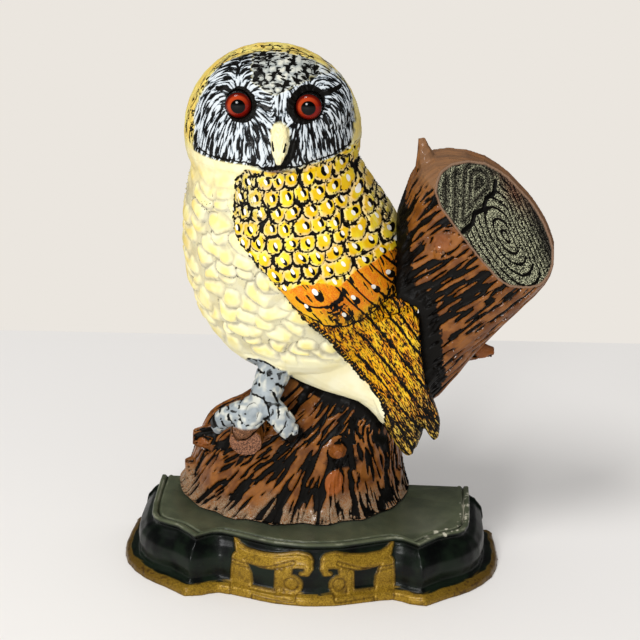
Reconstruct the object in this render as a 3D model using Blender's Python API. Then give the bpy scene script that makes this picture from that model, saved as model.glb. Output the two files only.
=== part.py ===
# Cast iron doorstop: an owl perched on a stump with a sawn log, on a serpentine plinth.
# Metres, +Z up. The back is flat and open, the front faces -Y. The plinth stands on z = 0.

import math

import bmesh
import bpy
from mathutils import Matrix, Vector

# Plinth sizes
PLINTH_HALF_WIDTH = 0.0905
PLINTH_DEPTH = 0.076
PLINTH_HEIGHT = 0.028
DECK_HALF_WIDTH = 0.0755
DECK_DEPTH = 0.0675
DECK_THICKNESS = 0.004
BEAD_WIDTH = 0.0022

# Sizes shared by the castings
CAST_WALL = 0.0035
GAP = 0.0003

# Stump sizes
STUMP_HEIGHT = 0.062
STUMP_HALF_WIDTH = 0.0565
STUMP_DEPTH = 0.049
ROOT_RIDGE = 0.0016
ROOT_RIDGES = 17
PERCH_SLOPE = 0.008
STUB_RADIUS = 0.0078

# Log sizes
LOG_LENGTH = 0.113
LOG_HALF_WIDTH = 0.041
LOG_DEPTH = 0.0375
LOG_RIDGE = 0.0010
LOG_RIDGES = 7
LOG_LEAN = math.radians(30.9)
SAW_TURN = math.radians(15.5)
SAW_TILT = math.radians(43.6)
SAW_STEP = 0.0045

# Owl sizes
BODY_HEIGHT = 0.104
BODY_HALF_WIDTH = 0.0535
BODY_DEPTH = 0.0585
HEAD_HALF_WIDTH = 0.0412
HEAD_HALF_HEIGHT = 0.0415
HEAD_DEPTH = 0.0465
FACE_HALF_WIDTH = 0.036
FACE_HALF_HEIGHT = 0.025
FACE_BULGE = 0.026
FACE_BACK = 0.015
DISH_RADIUS = 0.026
DISH_SINK = 0.0024
BEAK_LENGTH = 0.019
BEAK_HALF_WIDTH = 0.0042
BEAK_PROJECTION = 0.0070
WING_LIFT = 0.0034
WING_THICKNESS = 0.009
VANE_STEP = 0.0012
RUMP_BACK = 0.030
TAIL_FRONT = 0.044
FEATHER_EDGE = 0.0015
TOE_RADIUS = 0.0050

# Eyes and the strap that holds them
EYE_RADIUS = 0.0060
EYE_PROUD = 0.0030
EYE_FLANGE_RADIUS = 0.0080
EYE_FLANGE_THICKNESS = 0.0015
EYE_NECK_LENGTH = 0.0120
EYE_BOSS_RADIUS = 0.0095
EYE_SPACING = 0.0310
STRAP_WIDTH = 0.008
STRAP_THICKNESS = 0.0015
STRAP_OVERLAP = 0.005
BOSS_RADIUS = 0.0050

# Screws and the tie bolt
STRAP_SCREW_RADIUS = 0.0016
STRAP_SCREW_LENGTH = 0.007
FOOT_SCREW_RADIUS = 0.0020
FOOT_SCREW_LENGTH = 0.013
FOOT_BOSS_HEIGHT = 0.014
FOOT_SCREW_INSET = 0.0085
FOOT_SCREW_Y = -0.012
BOLT_RADIUS = 0.0032
BOLT_GRIP = 0.012
BOLT_BOSS_RADIUS = 0.0068
WASHER_RADIUS = 0.0085
WASHER_THICKNESS = 0.0015
BOLT_X = -0.012
BOLT_Y = -0.020
HEAD_SHARE = 1.9
SLOT_SHARE = 0.30

# How far one form stands to the side of the one below it, or above it
STUMP_SHIFT = -0.010
BODY_SHIFT = -0.0003
BODY_RISE = 0.006
HEAD_SHIFT = -0.0114
HEAD_RISE = 0.0059
FACE_SHIFT = 0.0019
EYE_SHIFT = 0.0029
BEAK_SHIFT = 0.0035

# Places that follow from the sizes
DECK_TOP = PLINTH_HEIGHT
STUMP_FOOT = DECK_TOP + GAP
STUMP_CENTRE_X = STUMP_SHIFT
PERCH = STUMP_FOOT + STUMP_HEIGHT
BODY_CENTRE_X = STUMP_CENTRE_X + BODY_SHIFT
BODY_FOOT = PERCH + BODY_RISE
HEAD_CENTRE_X = BODY_CENTRE_X + HEAD_SHIFT
HEAD_CENTRE_Z = BODY_FOOT + BODY_HEIGHT + HEAD_RISE
FACE_CENTRE_X = HEAD_CENTRE_X + FACE_SHIFT
FACE_CENTRE_Z = HEAD_CENTRE_Z + HEAD_HALF_HEIGHT - FACE_HALF_HEIGHT
EYE_CENTRE_X = HEAD_CENTRE_X + EYE_SHIFT
BEAK_X = EYE_CENTRE_X + BEAK_SHIFT
BEAK_TOP = HEAD_CENTRE_Z + 0.41 * HEAD_HALF_HEIGHT
EYE_HEIGHT = HEAD_CENTRE_Z + 0.52 * HEAD_HALF_HEIGHT
LOG_ROOT_X = STUMP_CENTRE_X + 0.60 * STUMP_HALF_WIDTH
LOG_ROOT_Z = STUMP_FOOT + 0.72 * STUMP_HEIGHT
BEYOND_BACK = 0.010
BACK_EASE = 0.001

# Outlines of the plinth, from its rear corner to its centre: share of half width, share of depth
RIM_END = ((0.975, 0.0), (1.0, 0.30), (0.965, 0.54), (0.85, 0.73), (0.735, 0.83), (0.625, 0.935))
RIM_FRONT = ((0.625, 0.935), (0.535, 0.918), (0.45, 0.875), (0.30, 0.925), (0.155, 0.98), (0.0, 1.0))
DECK_END = ((0.995, 0.0), (1.0, 0.30), (0.99, 0.60), (0.93, 0.71), (0.81, 0.775), (0.69, 0.92))
DECK_FRONT = ((0.69, 0.92), (0.62, 0.865), (0.54, 0.835), (0.38, 0.90), (0.20, 0.975), (0.0, 1.0))

# Side of the plinth, from the floor up: share of height, blend from the rim's outline to the deck's
PLINTH_SIDE = ((0.0, 0.0), (0.09, 0.02), (0.14, 0.16), (0.16, 0.46), (0.24, 0.50), (0.42, 0.40),
               (0.60, 0.46), (0.76, 0.72), (0.85, 1.02), (0.90, 1.05))

# Beads on the deck's edge: share of height, inset in bead widths
DECK_BEADS = ((0.93, -0.2), (0.98, -0.15), (1.0, 0.3), (0.985, 0.85), (0.94, 1.2), (0.98, 1.55),
              (0.99, 1.9), (0.98, 2.3))

# Stump, from its foot: share of height, left and right share of half width, share of depth
STUMP_STATIONS = ((0.0, -1.0, 1.0, 1.0), (0.10, -0.93, 0.965, 0.95), (0.27, -0.87, 0.93, 0.92),
                  (0.48, -0.79, 0.94, 0.92), (0.62, -0.73, 0.97, 0.90), (0.72, -0.64, 1.0, 0.85),
                  (0.80, -0.53, 1.0, 0.80), (0.88, -0.40, 0.99, 0.75), (1.0, -0.26, 0.97, 0.68),
                  (1.12, -0.12, 0.88, 0.56), (1.22, 0.03, 0.76, 0.38))

# Log, along its axis: share of length, side shift and half width in half widths, turn in degrees, depth
LOG_STATIONS = ((-0.05, -0.06, 0.42, -6.0, 0.62), (0.225, 0.01, 0.64, -5.0, 0.80), (0.445, 0.0, 0.70, -6.0, 0.88),
                (0.65, -0.02, 0.805, -3.0, 0.95), (0.84, -0.055, 0.93, 1.0, 0.99), (0.985, -0.09, 0.98, 7.5, 1.0),
                (1.075, -0.05, 0.82, 10.0, 0.98), (1.135, 0.02, 0.50, 14.0, 0.90), (1.155, 0.05, 0.18, 15.0, 0.7))

# Body, from its foot: share of height, left and right share of half width, share of depth
BODY_STATIONS = ((0.0, -0.30, 0.52, 0.50), (0.045, -0.50, 0.73, 0.69), (0.112, -0.665, 0.87, 0.82),
                 (0.20, -0.80, 0.965, 0.905), (0.314, -0.92, 1.0, 0.965), (0.468, -0.985, 1.0, 1.0),
                 (0.593, -1.0, 0.96, 0.983), (0.709, -0.998, 0.856, 0.94), (0.805, -0.97, 0.735, 0.88),
                 (0.891, -0.925, 0.613, 0.82), (1.0, -0.854, 0.49, 0.77))

# Wing, from the shoulder to the tip: left edge x and z, right edge x and z, in body shares
WING_STATIONS = ((-0.28, 1.02, 0.44, 0.985), (-0.48, 0.94, 0.53, 0.93), (-0.49, 0.86, 0.66, 0.835),
                 (-0.42, 0.75, 0.78, 0.73), (-0.29, 0.645, 0.885, 0.63), (-0.12, 0.535, 0.985, 0.535),
                 (0.05, 0.43, 1.045, 0.44), (0.23, 0.325, 1.09, 0.335), (0.385, 0.225, 1.12, 0.23),
                 (0.53, 0.11, 1.14, 0.125), (0.68, 0.015, 1.165, 0.045), (0.81, -0.06, 1.19, -0.015),
                 (0.91, -0.12, 1.21, -0.08))

# Belly sweeping down to the tail: left x and z, right x and z, in body shares, then share of the tail's depth
RUMP_STATIONS = ((-0.35, 0.15, 1.0, 0.37, 1.045), (-0.08, 0.035, 1.08, 0.20, 0.977),
                 (0.26, -0.045, 1.12, 0.07, 0.932), (0.57, -0.09, 1.16, -0.02, 0.909),
                 (0.75, -0.17, 1.18, -0.10, 0.886), (0.86, -0.265, 1.20, -0.19, 0.852),
                 (0.97, -0.325, 1.15, -0.28, 0.818))

# The two tail feathers that show, in the same terms
TAIL_STATIONS = (((0.66, -0.03, 1.02, 0.04, 0.966), (0.765, -0.15, 1.13, -0.11, 0.955),
                  (0.86, -0.25, 1.16, -0.22, 0.932), (0.95, -0.315, 1.13, -0.295, 0.909),
                  (1.02, -0.345, 1.09, -0.335, 0.875)),
                 ((0.93, 0.03, 1.19, 0.01, 0.909), (1.04, -0.08, 1.265, -0.09, 0.898),
                  (1.13, -0.17, 1.315, -0.17, 0.886), (1.20, -0.235, 1.32, -0.225, 0.864),
                  (1.255, -0.27, 1.30, -0.26, 0.830)))

# Leg and toes, from the perch: x, y, z in toe radii, radius share of the toe
LEG_COURSE = ((-3.2, -7.6, 3.2, 1.7), (-4.1, -9.0, 0.8, 1.45), (-4.6, -9.4, -0.6, 1.3))
TOE_COURSES = (((-4.4, -9.2, -0.2, 1.1), (-6.4, -9.6, -1.0, 1.05), (-7.9, -9.0, -2.0, 1.0),
                (-8.6, -8.2, -3.1, 0.85), (-8.8, -7.8, -4.1, 0.3)),
               ((-4.2, -9.4, -0.4, 1.1), (-5.4, -10.2, -1.5, 1.1), (-6.3, -10.0, -2.8, 0.95),
                (-6.8, -9.6, -3.8, 0.3)),
               ((-3.9, -9.4, -0.3, 1.1), (-2.7, -10.3, -1.2, 1.15), (-1.9, -10.2, -2.5, 1.0),
                (-1.6, -9.8, -3.7, 0.3)))

# Broken spurs and a knot of the log: start and end, each along, across and depth in log shares, then the radii
# there in radii of the cut branch
LOG_SPURS = (((0.905, -0.61, 0.34), (1.120, -1.205, 0.19), 1.65, 0.22),
             ((0.446, 0.575, 0.24), (0.490, 0.90, 0.16), 0.83, 0.38),
             ((0.81, -0.31, 0.69), (0.815, -0.43, 0.99), 0.70, 0.28))

# Lump, knot and cut branch of the stump: across, depth and height in stump shares, then the radii in the same terms
STUMP_KNOTS = (((-0.673, 0.37, 0.463), (-0.85, 0.39, 0.471), 1.03, 0.51),
               ((0.389, 0.78, 0.608), (0.407, 0.96, 0.576), 0.64, 0.31),
               ((-0.336, 0.61, 0.745), (-0.342, 1.07, 0.697), 1.2, 1.0))

RING_SIDES = 10
ROUND_SIDES = 28
SMALL_SIDES = 20
SCREW_SIDES = 14
WING_COLUMNS = 21
WING_ROWS = 20
VANES = 7


def clear_scene():
    for item in list(bpy.data.objects):
        bpy.data.objects.remove(item, do_unlink=True)


def smooth_through(rows, steps):
    # A smooth curve through rows of numbers, with the given number of steps between neighbours
    padded = [rows[0], *rows, rows[-1]]
    curve = []
    for before, start, end, after in zip(padded, padded[1:], padded[2:], padded[3:]):
        for step in range(steps):
            t = step / steps
            curve.append(tuple(
                0.5 * (2 * b + (c - a) * t + (2 * a - 5 * b + 4 * c - d) * t ** 2 + (3 * b - a - 3 * c + d) * t ** 3)
                for a, b, c, d in zip(before, start, end, after)))
    curve.append(tuple(rows[-1]))
    return curve


def object_from(bm, name):
    bmesh.ops.recalc_face_normals(bm, faces=bm.faces)
    mesh = bpy.data.meshes.new(name)
    bm.to_mesh(mesh)
    bm.free()
    item = bpy.data.objects.new(name, mesh)
    bpy.context.scene.collection.objects.link(item)
    return item


def loft(rings, name, triangles=False):
    # Closed solid through rings of the same count, capped at both ends
    bm = bmesh.new()
    loops = [[bm.verts.new(point) for point in ring] for ring in rings]
    for low, high in zip(loops, loops[1:]):
        for i in range(len(low)):
            j = (i + 1) % len(low)
            bm.faces.new((low[i], low[j], high[j], high[i]))
    bm.faces.new(loops[0])
    bm.faces.new(loops[-1])
    if triangles:
        bmesh.ops.triangulate(bm, faces=bm.faces)
    return object_from(bm, name)


def tube(points, radii, name, sides=RING_SIDES):
    # Round solid along a course of points, rings turned square to the course
    points = [Vector(p) for p in points]
    rings = []
    for i, point in enumerate(points):
        ahead = points[min(i + 1, len(points) - 1)]
        behind = points[max(i - 1, 0)]
        turn = (ahead - behind).to_track_quat("Z", "Y")
        spokes = [Vector((math.cos(a), math.sin(a), 0.0)) * radii[i] for a in spread(sides)]
        rings.append([point + turn @ spoke for spoke in spokes])
    return loft(rings, name, triangles=True)


def spread(count):
    return [2 * math.pi * i / count for i in range(count)]


def cylinder(centre, axis, radius, length, name, sides=ROUND_SIDES):
    # Cylinder that starts at centre and runs along axis for its length
    bm = bmesh.new()
    bmesh.ops.create_cone(bm, cap_ends=True, segments=sides, radius1=radius, radius2=radius, depth=length)
    turn = Vector(axis).to_track_quat("Z", "Y").to_matrix().to_4x4()
    middle = Vector(centre) + Vector(axis).normalized() * length / 2
    bmesh.ops.transform(bm, matrix=Matrix.Translation(middle) @ turn, verts=bm.verts)
    return object_from(bm, name)


def block(low, high, name):
    bm = bmesh.new()
    bmesh.ops.create_cube(bm, size=1.0)
    low, high = Vector(low), Vector(high)
    bmesh.ops.scale(bm, vec=high - low, verts=bm.verts)
    bmesh.ops.translate(bm, vec=(low + high) / 2, verts=bm.verts)
    return object_from(bm, name)


def combine(item, other, operation, solver="EXACT"):
    # Boolean with the other object, applied, and the other object removed
    step = item.modifiers.new(operation.lower(), "BOOLEAN")
    step.operation = operation
    step.solver = solver
    step.object = other
    depsgraph = bpy.context.evaluated_depsgraph_get()
    mesh = bpy.data.meshes.new_from_object(item.evaluated_get(depsgraph))
    item.modifiers.clear()
    item.data = mesh
    bpy.data.objects.remove(other, do_unlink=True)
    return item


def join_all(items):
    first, *others = items
    for other in others:
        combine(first, other, "UNION")
    return first


def cut_all(item, cutters):
    for cutter in cutters:
        combine(item, cutter, "DIFFERENCE")
    return item


def cut_back_flat(item):
    # Trims a casting at the back plane, y = 0, and closes the cut with flat faces round its hollow
    bm = bmesh.new()
    bm.from_mesh(item.data)
    cut = bmesh.ops.bisect_plane(bm, geom=[*bm.verts, *bm.edges, *bm.faces], dist=1e-7, plane_co=(0, 0, 0),
                                 plane_no=(0, 1, 0), clear_outer=True)
    rim = [part for part in cut["geom_cut"] if isinstance(part, bmesh.types.BMEdge)]
    bmesh.ops.triangle_fill(bm, edges=rim, use_beauty=True, normal=(0, 1, 0))
    bm.to_mesh(item.data)
    bm.free()
    return item


def swell(item, amount):
    # Moves every vertex out along its normal
    bm = bmesh.new()
    bm.from_mesh(item.data)
    bm.normal_update()
    moves = [(vert, vert.co + vert.normal * amount * vert.calc_shell_factor()) for vert in bm.verts]
    for vert, place in moves:
        vert.co = place
    bm.to_mesh(item.data)
    bm.free()
    return item


def arch(left, right, base, depth, back, fullness, segments, ridge=0.0, ridges=0):
    # One section of a relief: an arch to the front from left to right, and straight across at the back
    ring = []
    for k in range(segments + 1):
        angle = math.pi * k / segments
        reach = math.copysign(abs(math.cos(angle)) ** fullness, math.cos(angle))
        across = 0.5 - 0.5 * reach
        wave = ridge * math.cos(ridges * angle) * math.sin(angle)
        rise = (depth - base) * math.sin(angle) ** fullness + wave
        ring.append((left[0] + (right[0] - left[0]) * across, -base - rise,
                     left[1] + (right[1] - left[1]) * across))
    ring.append((right[0], back, right[1]))
    ring.append((left[0], back, left[1]))
    return ring


def inset_pair(left, right, inset):
    # Moves the two ends of a section towards each other
    run = Vector(right) - Vector(left)
    pull = run.normalized() * min(inset, run.length * 0.45)
    return Vector(left) + pull, Vector(right) - pull


# Owl

def body_place(x_share, z_share):
    return BODY_CENTRE_X + x_share * BODY_HALF_WIDTH, BODY_FOOT + z_share * BODY_HEIGHT


def body_form(inset, back, segments, steps, name):
    rings = []
    for height, left, right, depth in smooth_through(BODY_STATIONS, steps):
        z = BODY_FOOT + inset + height * (BODY_HEIGHT - inset)
        start, end = inset_pair((body_place(left, 0)[0], z), (body_place(right, 0)[0], z), inset)
        rings.append(arch(start, end, -BACK_EASE, depth * BODY_DEPTH - inset, back, 0.9, segments))
    return loft(rings, name)


def dome(centre, size, sides, name):
    bm = bmesh.new()
    bmesh.ops.create_uvsphere(bm, u_segments=sides, v_segments=sides * 9 // 16, radius=1.0)
    bmesh.ops.scale(bm, vec=size, verts=bm.verts)
    bmesh.ops.translate(bm, vec=centre, verts=bm.verts)
    return object_from(bm, name)


def head_domes(inset):
    # Centre and half sizes of the round skull and of the flatter face on its upper front
    skull = ((HEAD_CENTRE_X, BACK_EASE, HEAD_CENTRE_Z),
             (HEAD_HALF_WIDTH - inset, HEAD_DEPTH + BACK_EASE - inset, HEAD_HALF_HEIGHT - inset))
    face = ((FACE_CENTRE_X, -FACE_BACK, FACE_CENTRE_Z),
            (FACE_HALF_WIDTH - inset, FACE_BULGE - inset, FACE_HALF_HEIGHT - inset))
    return skull, face


def head_form(inset, sides, name):
    skull, face = head_domes(inset)
    return combine(dome(*skull, sides, name), dome(*face, sides, "face"), "UNION")


def face_depth(x, z):
    # How far the head's skin stands in front of the back plane
    depths = []
    for centre, size in head_domes(0.0):
        across = (x - centre[0]) / size[0]
        up = (z - centre[2]) / size[2]
        depths.append(-centre[1] + size[1] * math.sqrt(max(0.0, 1 - across ** 2 - up ** 2)))
    return max(depths)


def skin_depth(x, z):
    # How far the body's skin, or the loose edge of the wing, stands in front of the back plane
    height = (z - BODY_FOOT) / BODY_HEIGHT
    low, high = BODY_STATIONS[0], BODY_STATIONS[1]
    for low, high in zip(BODY_STATIONS, BODY_STATIONS[1:]):
        if height < high[0]:
            break
    share = min(1.0, max(0.0, (height - low[0]) / (high[0] - low[0])))
    left, right, depth = (a + (b - a) * share for a, b in zip(low[1:], high[1:]))
    across = ((x - BODY_CENTRE_X) / BODY_HALF_WIDTH - (left + right) / 2) / ((right - left) / 2)
    skin = depth * BODY_DEPTH * max(0.0, 1 - across ** 2) ** 0.5
    ease = min(1.0, max(0.0, (0.66 - height) / 0.42))
    loose = (TAIL_FRONT - WING_LIFT) * ease * ease * (3 - 2 * ease)
    return max(skin, loose, WING_THICKNESS)


def wing_lift(u, v):
    # Height of the wing over the skin: a rounded slab, a stepped band and overlapping long vanes
    edge = 1 - abs(2 * v - 1) ** 6
    lift = WING_LIFT * (0.25 + 0.75 * edge)
    if u > 0.52:
        lift -= VANE_STEP * (VANES * v % 1.0) * edge + 0.5 * VANE_STEP
    return lift


def wing_form():
    courses = smooth_through(WING_STATIONS, 2)
    front, rear = [], []
    for row in range(WING_ROWS + 1):
        u = row / WING_ROWS
        place = u * (len(courses) - 1)
        first = min(int(place), len(courses) - 2)
        mix = place - first
        lx, lz, rx, rz = (a + (b - a) * mix for a, b in zip(courses[first], courses[first + 1]))
        for column in range(WING_COLUMNS + 1):
            v = column / WING_COLUMNS
            x, z = body_place(lx + (rx - lx) * v, lz + (rz - lz) * v)
            depth = skin_depth(x, z)
            front.append((x, -depth - wing_lift(u, v), z))
            rear.append((x, -depth - WING_LIFT + WING_THICKNESS, z))
    return slab(front, rear, WING_COLUMNS + 1, "wing")


def slab(front, rear, columns, name):
    # Closed solid between two grids of points with the same layout
    bm = bmesh.new()
    sides = [[bm.verts.new(point) for point in grid] for grid in (front, rear)]
    rows = len(front) // columns
    for verts in sides:
        for r in range(rows - 1):
            for c in range(columns - 1):
                i = r * columns + c
                bm.faces.new((verts[i], verts[i + 1], verts[i + columns + 1], verts[i + columns]))
    rim = [*range(columns), *range(2 * columns - 1, rows * columns, columns),
           *range(rows * columns - 2, (rows - 1) * columns - 1, -1),
           *range((rows - 2) * columns, 0, -columns)]
    for i, j in zip(rim, rim[1:] + rim[:1]):
        bm.faces.new((sides[0][i], sides[0][j], sides[1][j], sides[1][i]))
    bmesh.ops.triangulate(bm, faces=bm.faces)
    return object_from(bm, name)


def feather_form(stations, back, segments, name):
    # Relief with a flat back of its own, in front of the trunk
    rings = []
    for lx, lz, rx, rz, depth in smooth_through(stations, 2):
        rings.append(arch(body_place(lx, lz), body_place(rx, rz), back + FEATHER_EDGE, depth * TAIL_FRONT, -back, 0.7,
                          segments))
    return loft(rings, name)


def beak_form():
    # Hooked beak, from brow to tip: share of length, projection, half width and thickness
    course = ((0.0, -0.15, 0.25, 0.6), (0.18, 0.25, 0.75, 0.9), (0.45, 0.70, 1.0, 1.2), (0.75, 1.0, 0.72, 1.2),
              (0.92, 0.98, 0.35, 0.5), (1.0, 0.90, 0.12, 0.2))
    rings = []
    for along, proud, width, thick in smooth_through(course, 2):
        z = BEAK_TOP - along * BEAK_LENGTH
        depth = face_depth(BEAK_X, z) + proud * BEAK_PROJECTION
        reach = width * BEAK_HALF_WIDTH
        rings.append(arch((BEAK_X - reach, z), (BEAK_X + reach, z), depth - reach, depth,
                          -depth + reach + thick * BEAK_PROJECTION, 0.8, 10))
    return loft(rings, "beak")


def perch_course(course):
    points = [(x * TOE_RADIUS, y * TOE_RADIUS, PERCH + z * TOE_RADIUS) for x, y, z, _ in course]
    return points, [share * TOE_RADIUS for *_, share in course]


def foot_forms():
    forms = []
    for i, course in enumerate((LEG_COURSE, *TOE_COURSES)):
        points, radii = perch_course(smooth_through(course, 2))
        forms.append(tube(points, radii, f"toe_{i}"))
    return forms


def eye_places():
    return [(EYE_CENTRE_X + side * EYE_SPACING / 2, EYE_HEIGHT) for side in (-1, 1)]


def eye_seat():
    # Depth of the flat seats behind the face, the same for both eyes
    return min(face_depth(x, z) for x, z in eye_places()) - EYE_NECK_LENGTH


def dish_cutters():
    cutters = []
    for x, z in eye_places():
        bm = bmesh.new()
        bmesh.ops.create_uvsphere(bm, u_segments=32, v_segments=24, radius=DISH_RADIUS)
        away = Vector(((x - HEAD_CENTRE_X) / HEAD_HALF_WIDTH ** 2, -face_depth(x, z) / HEAD_DEPTH ** 2,
                       (z - HEAD_CENTRE_Z) / HEAD_HALF_HEIGHT ** 2)).normalized()
        centre = Vector((x, -face_depth(x, z), z)) + away * (DISH_RADIUS - DISH_SINK)
        bmesh.ops.translate(bm, vec=centre, verts=bm.verts)
        cutters.append(object_from(bm, "dish"))
    return cutters


def owl_forms():
    feathers = [feather_form(stations, RUMP_BACK + FEATHER_EDGE * (i + 1), 8, "tail")
                for i, stations in enumerate(TAIL_STATIONS)]
    return [body_form(0.0, BEYOND_BACK, 20, 2, "owl_shell"), head_form(0.0, 32, "head"),
            feather_form(RUMP_STATIONS, RUMP_BACK, 12, "rump"), wing_form(), *feathers, *foot_forms()]


def head_boss(x, z, radius, rear, name):
    # Boss behind the face: flat at the rear, and merging with the wall in front
    boss = cylinder((x, -rear, z), (0, -1, 0), radius, HEAD_DEPTH, name, SMALL_SIDES)
    return combine(boss, head_form(CAST_WALL / 2, 24, "head_middle"), "INTERSECT", "MANIFOLD")


def owl_shell():
    shell = join_all(owl_forms())
    cut_all(shell, dish_cutters())
    core = join_all([body_form(CAST_WALL, BEYOND_BACK * 2, 14, 1, "core"), head_form(CAST_WALL, 20, "head_core")])
    combine(combine(shell, beak_form(), "UNION"), core, "DIFFERENCE")
    seat = eye_seat()
    strap_seat = seat - EYE_FLANGE_THICKNESS - GAP
    bosses = [head_boss(x, z, EYE_BOSS_RADIUS, seat, "eye_boss") for x, z in eye_places()]
    bosses.append(head_boss(EYE_CENTRE_X, EYE_HEIGHT, BOSS_RADIUS, strap_seat, "strap_boss"))
    bosses.append(cylinder((BOLT_X, BOLT_Y, BODY_FOOT + CAST_WALL / 3), (0, 0, 1), BOLT_BOSS_RADIUS,
                           BOLT_GRIP + CAST_WALL, "bolt_boss", SMALL_SIDES))
    join_all([shell, *bosses])
    cutters = [cylinder((x, 0.0, z), (0, -1, 0), EYE_RADIUS + GAP, HEAD_DEPTH + BEYOND_BACK, "socket")
               for x, z in eye_places()]
    cutters.append(cylinder((EYE_CENTRE_X, 0.0, EYE_HEIGHT), (0, -1, 0), STRAP_SCREW_RADIUS + GAP,
                            strap_seat + STRAP_SCREW_LENGTH, "pilot", SMALL_SIDES))
    cutters.append(cylinder((BOLT_X, BOLT_Y, STUMP_FOOT), (0, 0, 1), BOLT_RADIUS + GAP,
                            BODY_FOOT + BOLT_GRIP + GAP - STUMP_FOOT, "bolt_hole", SMALL_SIDES))
    cut_all(shell, cutters)
    return cut_back_flat(shell)


def eye_glass(x, z, name):
    # Turned glass: a flange behind the face, a straight neck and a low dome in front
    seat = eye_seat() - GAP
    crown = face_depth(x, z) - DISH_SINK + EYE_PROUD
    shoulder = crown - 0.55 * EYE_RADIUS
    dome = [(EYE_RADIUS * math.cos(a), shoulder + (crown - shoulder) * math.sin(a))
            for a in (math.pi / 2 * k / 4 for k in range(5))]
    back = seat - EYE_FLANGE_THICKNESS
    profile = [(0.0, back), (EYE_FLANGE_RADIUS, back), (EYE_FLANGE_RADIUS, seat), (EYE_RADIUS, seat), *dome[:-1],
               (0.0, crown)]
    return turned(profile, (x, 0.0, z), (0, -1, 0), name)


def turned(profile, origin, axis, name, sides=SMALL_SIDES):
    # Solid of revolution: radius and distance along the axis from the origin
    bm = bmesh.new()
    verts = [bm.verts.new((radius, 0.0, along)) for radius, along in profile]
    edges = [bm.edges.new(pair) for pair in zip(verts, verts[1:])]
    bmesh.ops.spin(bm, geom=verts + edges, cent=(0, 0, 0), axis=(0, 0, 1), angle=2 * math.pi, steps=sides,
                   use_merge=True, use_duplicate=False)
    bmesh.ops.remove_doubles(bm, verts=bm.verts, dist=1e-6)
    turn = Vector(axis).to_track_quat("Z", "Y").to_matrix().to_4x4()
    bmesh.ops.transform(bm, matrix=Matrix.Translation(origin) @ turn, verts=bm.verts)
    return object_from(bm, name)


def slotted_screw(seat_point, axis, radius, length, name):
    # Round-headed screw: its head's underside is at the seat point and its shank runs along the axis
    head = radius * HEAD_SHARE
    height = radius * 1.2
    dome = [(head * math.cos(a), -height * (0.35 + 0.65 * math.sin(a)))
            for a in (math.pi / 2 * k / 3 for k in range(4))]
    profile = [(0.0, dome[-1][1]), *reversed(dome[:-1]), (head, 0.0), (radius, 0.0), (radius, length), (0.0, length)]
    screw = turned(profile, seat_point, axis, name, SCREW_SIDES)
    reach, half_slot = head * 1.2, head * SLOT_SHARE / 2
    slot = block((-reach, -half_slot, -height * 1.2), (reach, half_slot, -height * 0.6), "slot")
    turn = Vector(axis).to_track_quat("Z", "Y").to_matrix().to_4x4()
    slot.data.transform(Matrix.Translation(seat_point) @ turn)
    return combine(screw, slot, "DIFFERENCE")


def strap_back():
    return eye_seat() - EYE_FLANGE_THICKNESS - 2 * GAP - STRAP_THICKNESS


def eye_strap():
    reach = EYE_SPACING / 2 + STRAP_OVERLAP
    low = (EYE_CENTRE_X - reach, -strap_back() - STRAP_THICKNESS, EYE_HEIGHT - STRAP_WIDTH / 2)
    high = (EYE_CENTRE_X + reach, -strap_back(), EYE_HEIGHT + STRAP_WIDTH / 2)
    strap = block(low, high, "eye_strap")
    hole = cylinder((EYE_CENTRE_X, 0.0, EYE_HEIGHT), (0, -1, 0), STRAP_SCREW_RADIUS + GAP, HEAD_DEPTH, "strap_hole",
                    SMALL_SIDES)
    return combine(strap, hole, "DIFFERENCE")


def eye_strap_screw():
    place = (EYE_CENTRE_X, -strap_back() + GAP, EYE_HEIGHT)
    reach = STRAP_THICKNESS + STRAP_SCREW_LENGTH - GAP * 2
    return slotted_screw(place, (0, -1, 0), STRAP_SCREW_RADIUS, reach, "eye_strap_screw")


# Stump and log

def stump_form(inset, back, top, name):
    rings = []
    stations = [s for s in smooth_through(STUMP_STATIONS, 2) if STUMP_FOOT + s[0] * STUMP_HEIGHT <= top]
    deepest = ROOT_RIDGE if inset else 0.0
    for height, left, right, depth in stations:
        z = STUMP_FOOT + height * STUMP_HEIGHT - (BEYOND_BACK if inset and not rings else 0.0)
        start, end = inset_pair((STUMP_CENTRE_X + left * STUMP_HALF_WIDTH, z),
                                (STUMP_CENTRE_X + right * STUMP_HALF_WIDTH, z), inset)
        ridge = 0.0 if inset else ROOT_RIDGE * max(0.45, 1 - 1.1 * height)
        front = depth * STUMP_DEPTH - inset - deepest
        ring = arch(start, end, -BACK_EASE, front, back, 0.9, 30, ridge, ROOT_RIDGES)
        drop = PERCH_SLOPE * min(1.0, max(0.0, 2.5 * height - 1.1)) / (end[0] - start[0])
        rings.append([(x, y, z - drop * (end[0] - x) * min(1.0, max(0.0, 1 + y / front))) for x, y, z in ring])
    return loft(rings, name)


def log_place(along, side):
    lean = Vector((math.sin(LOG_LEAN), math.cos(LOG_LEAN)))
    across = Vector((math.cos(LOG_LEAN), -math.sin(LOG_LEAN)))
    return Vector((LOG_ROOT_X, LOG_ROOT_Z)) + lean * along * LOG_LENGTH + across * side * LOG_HALF_WIDTH


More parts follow.
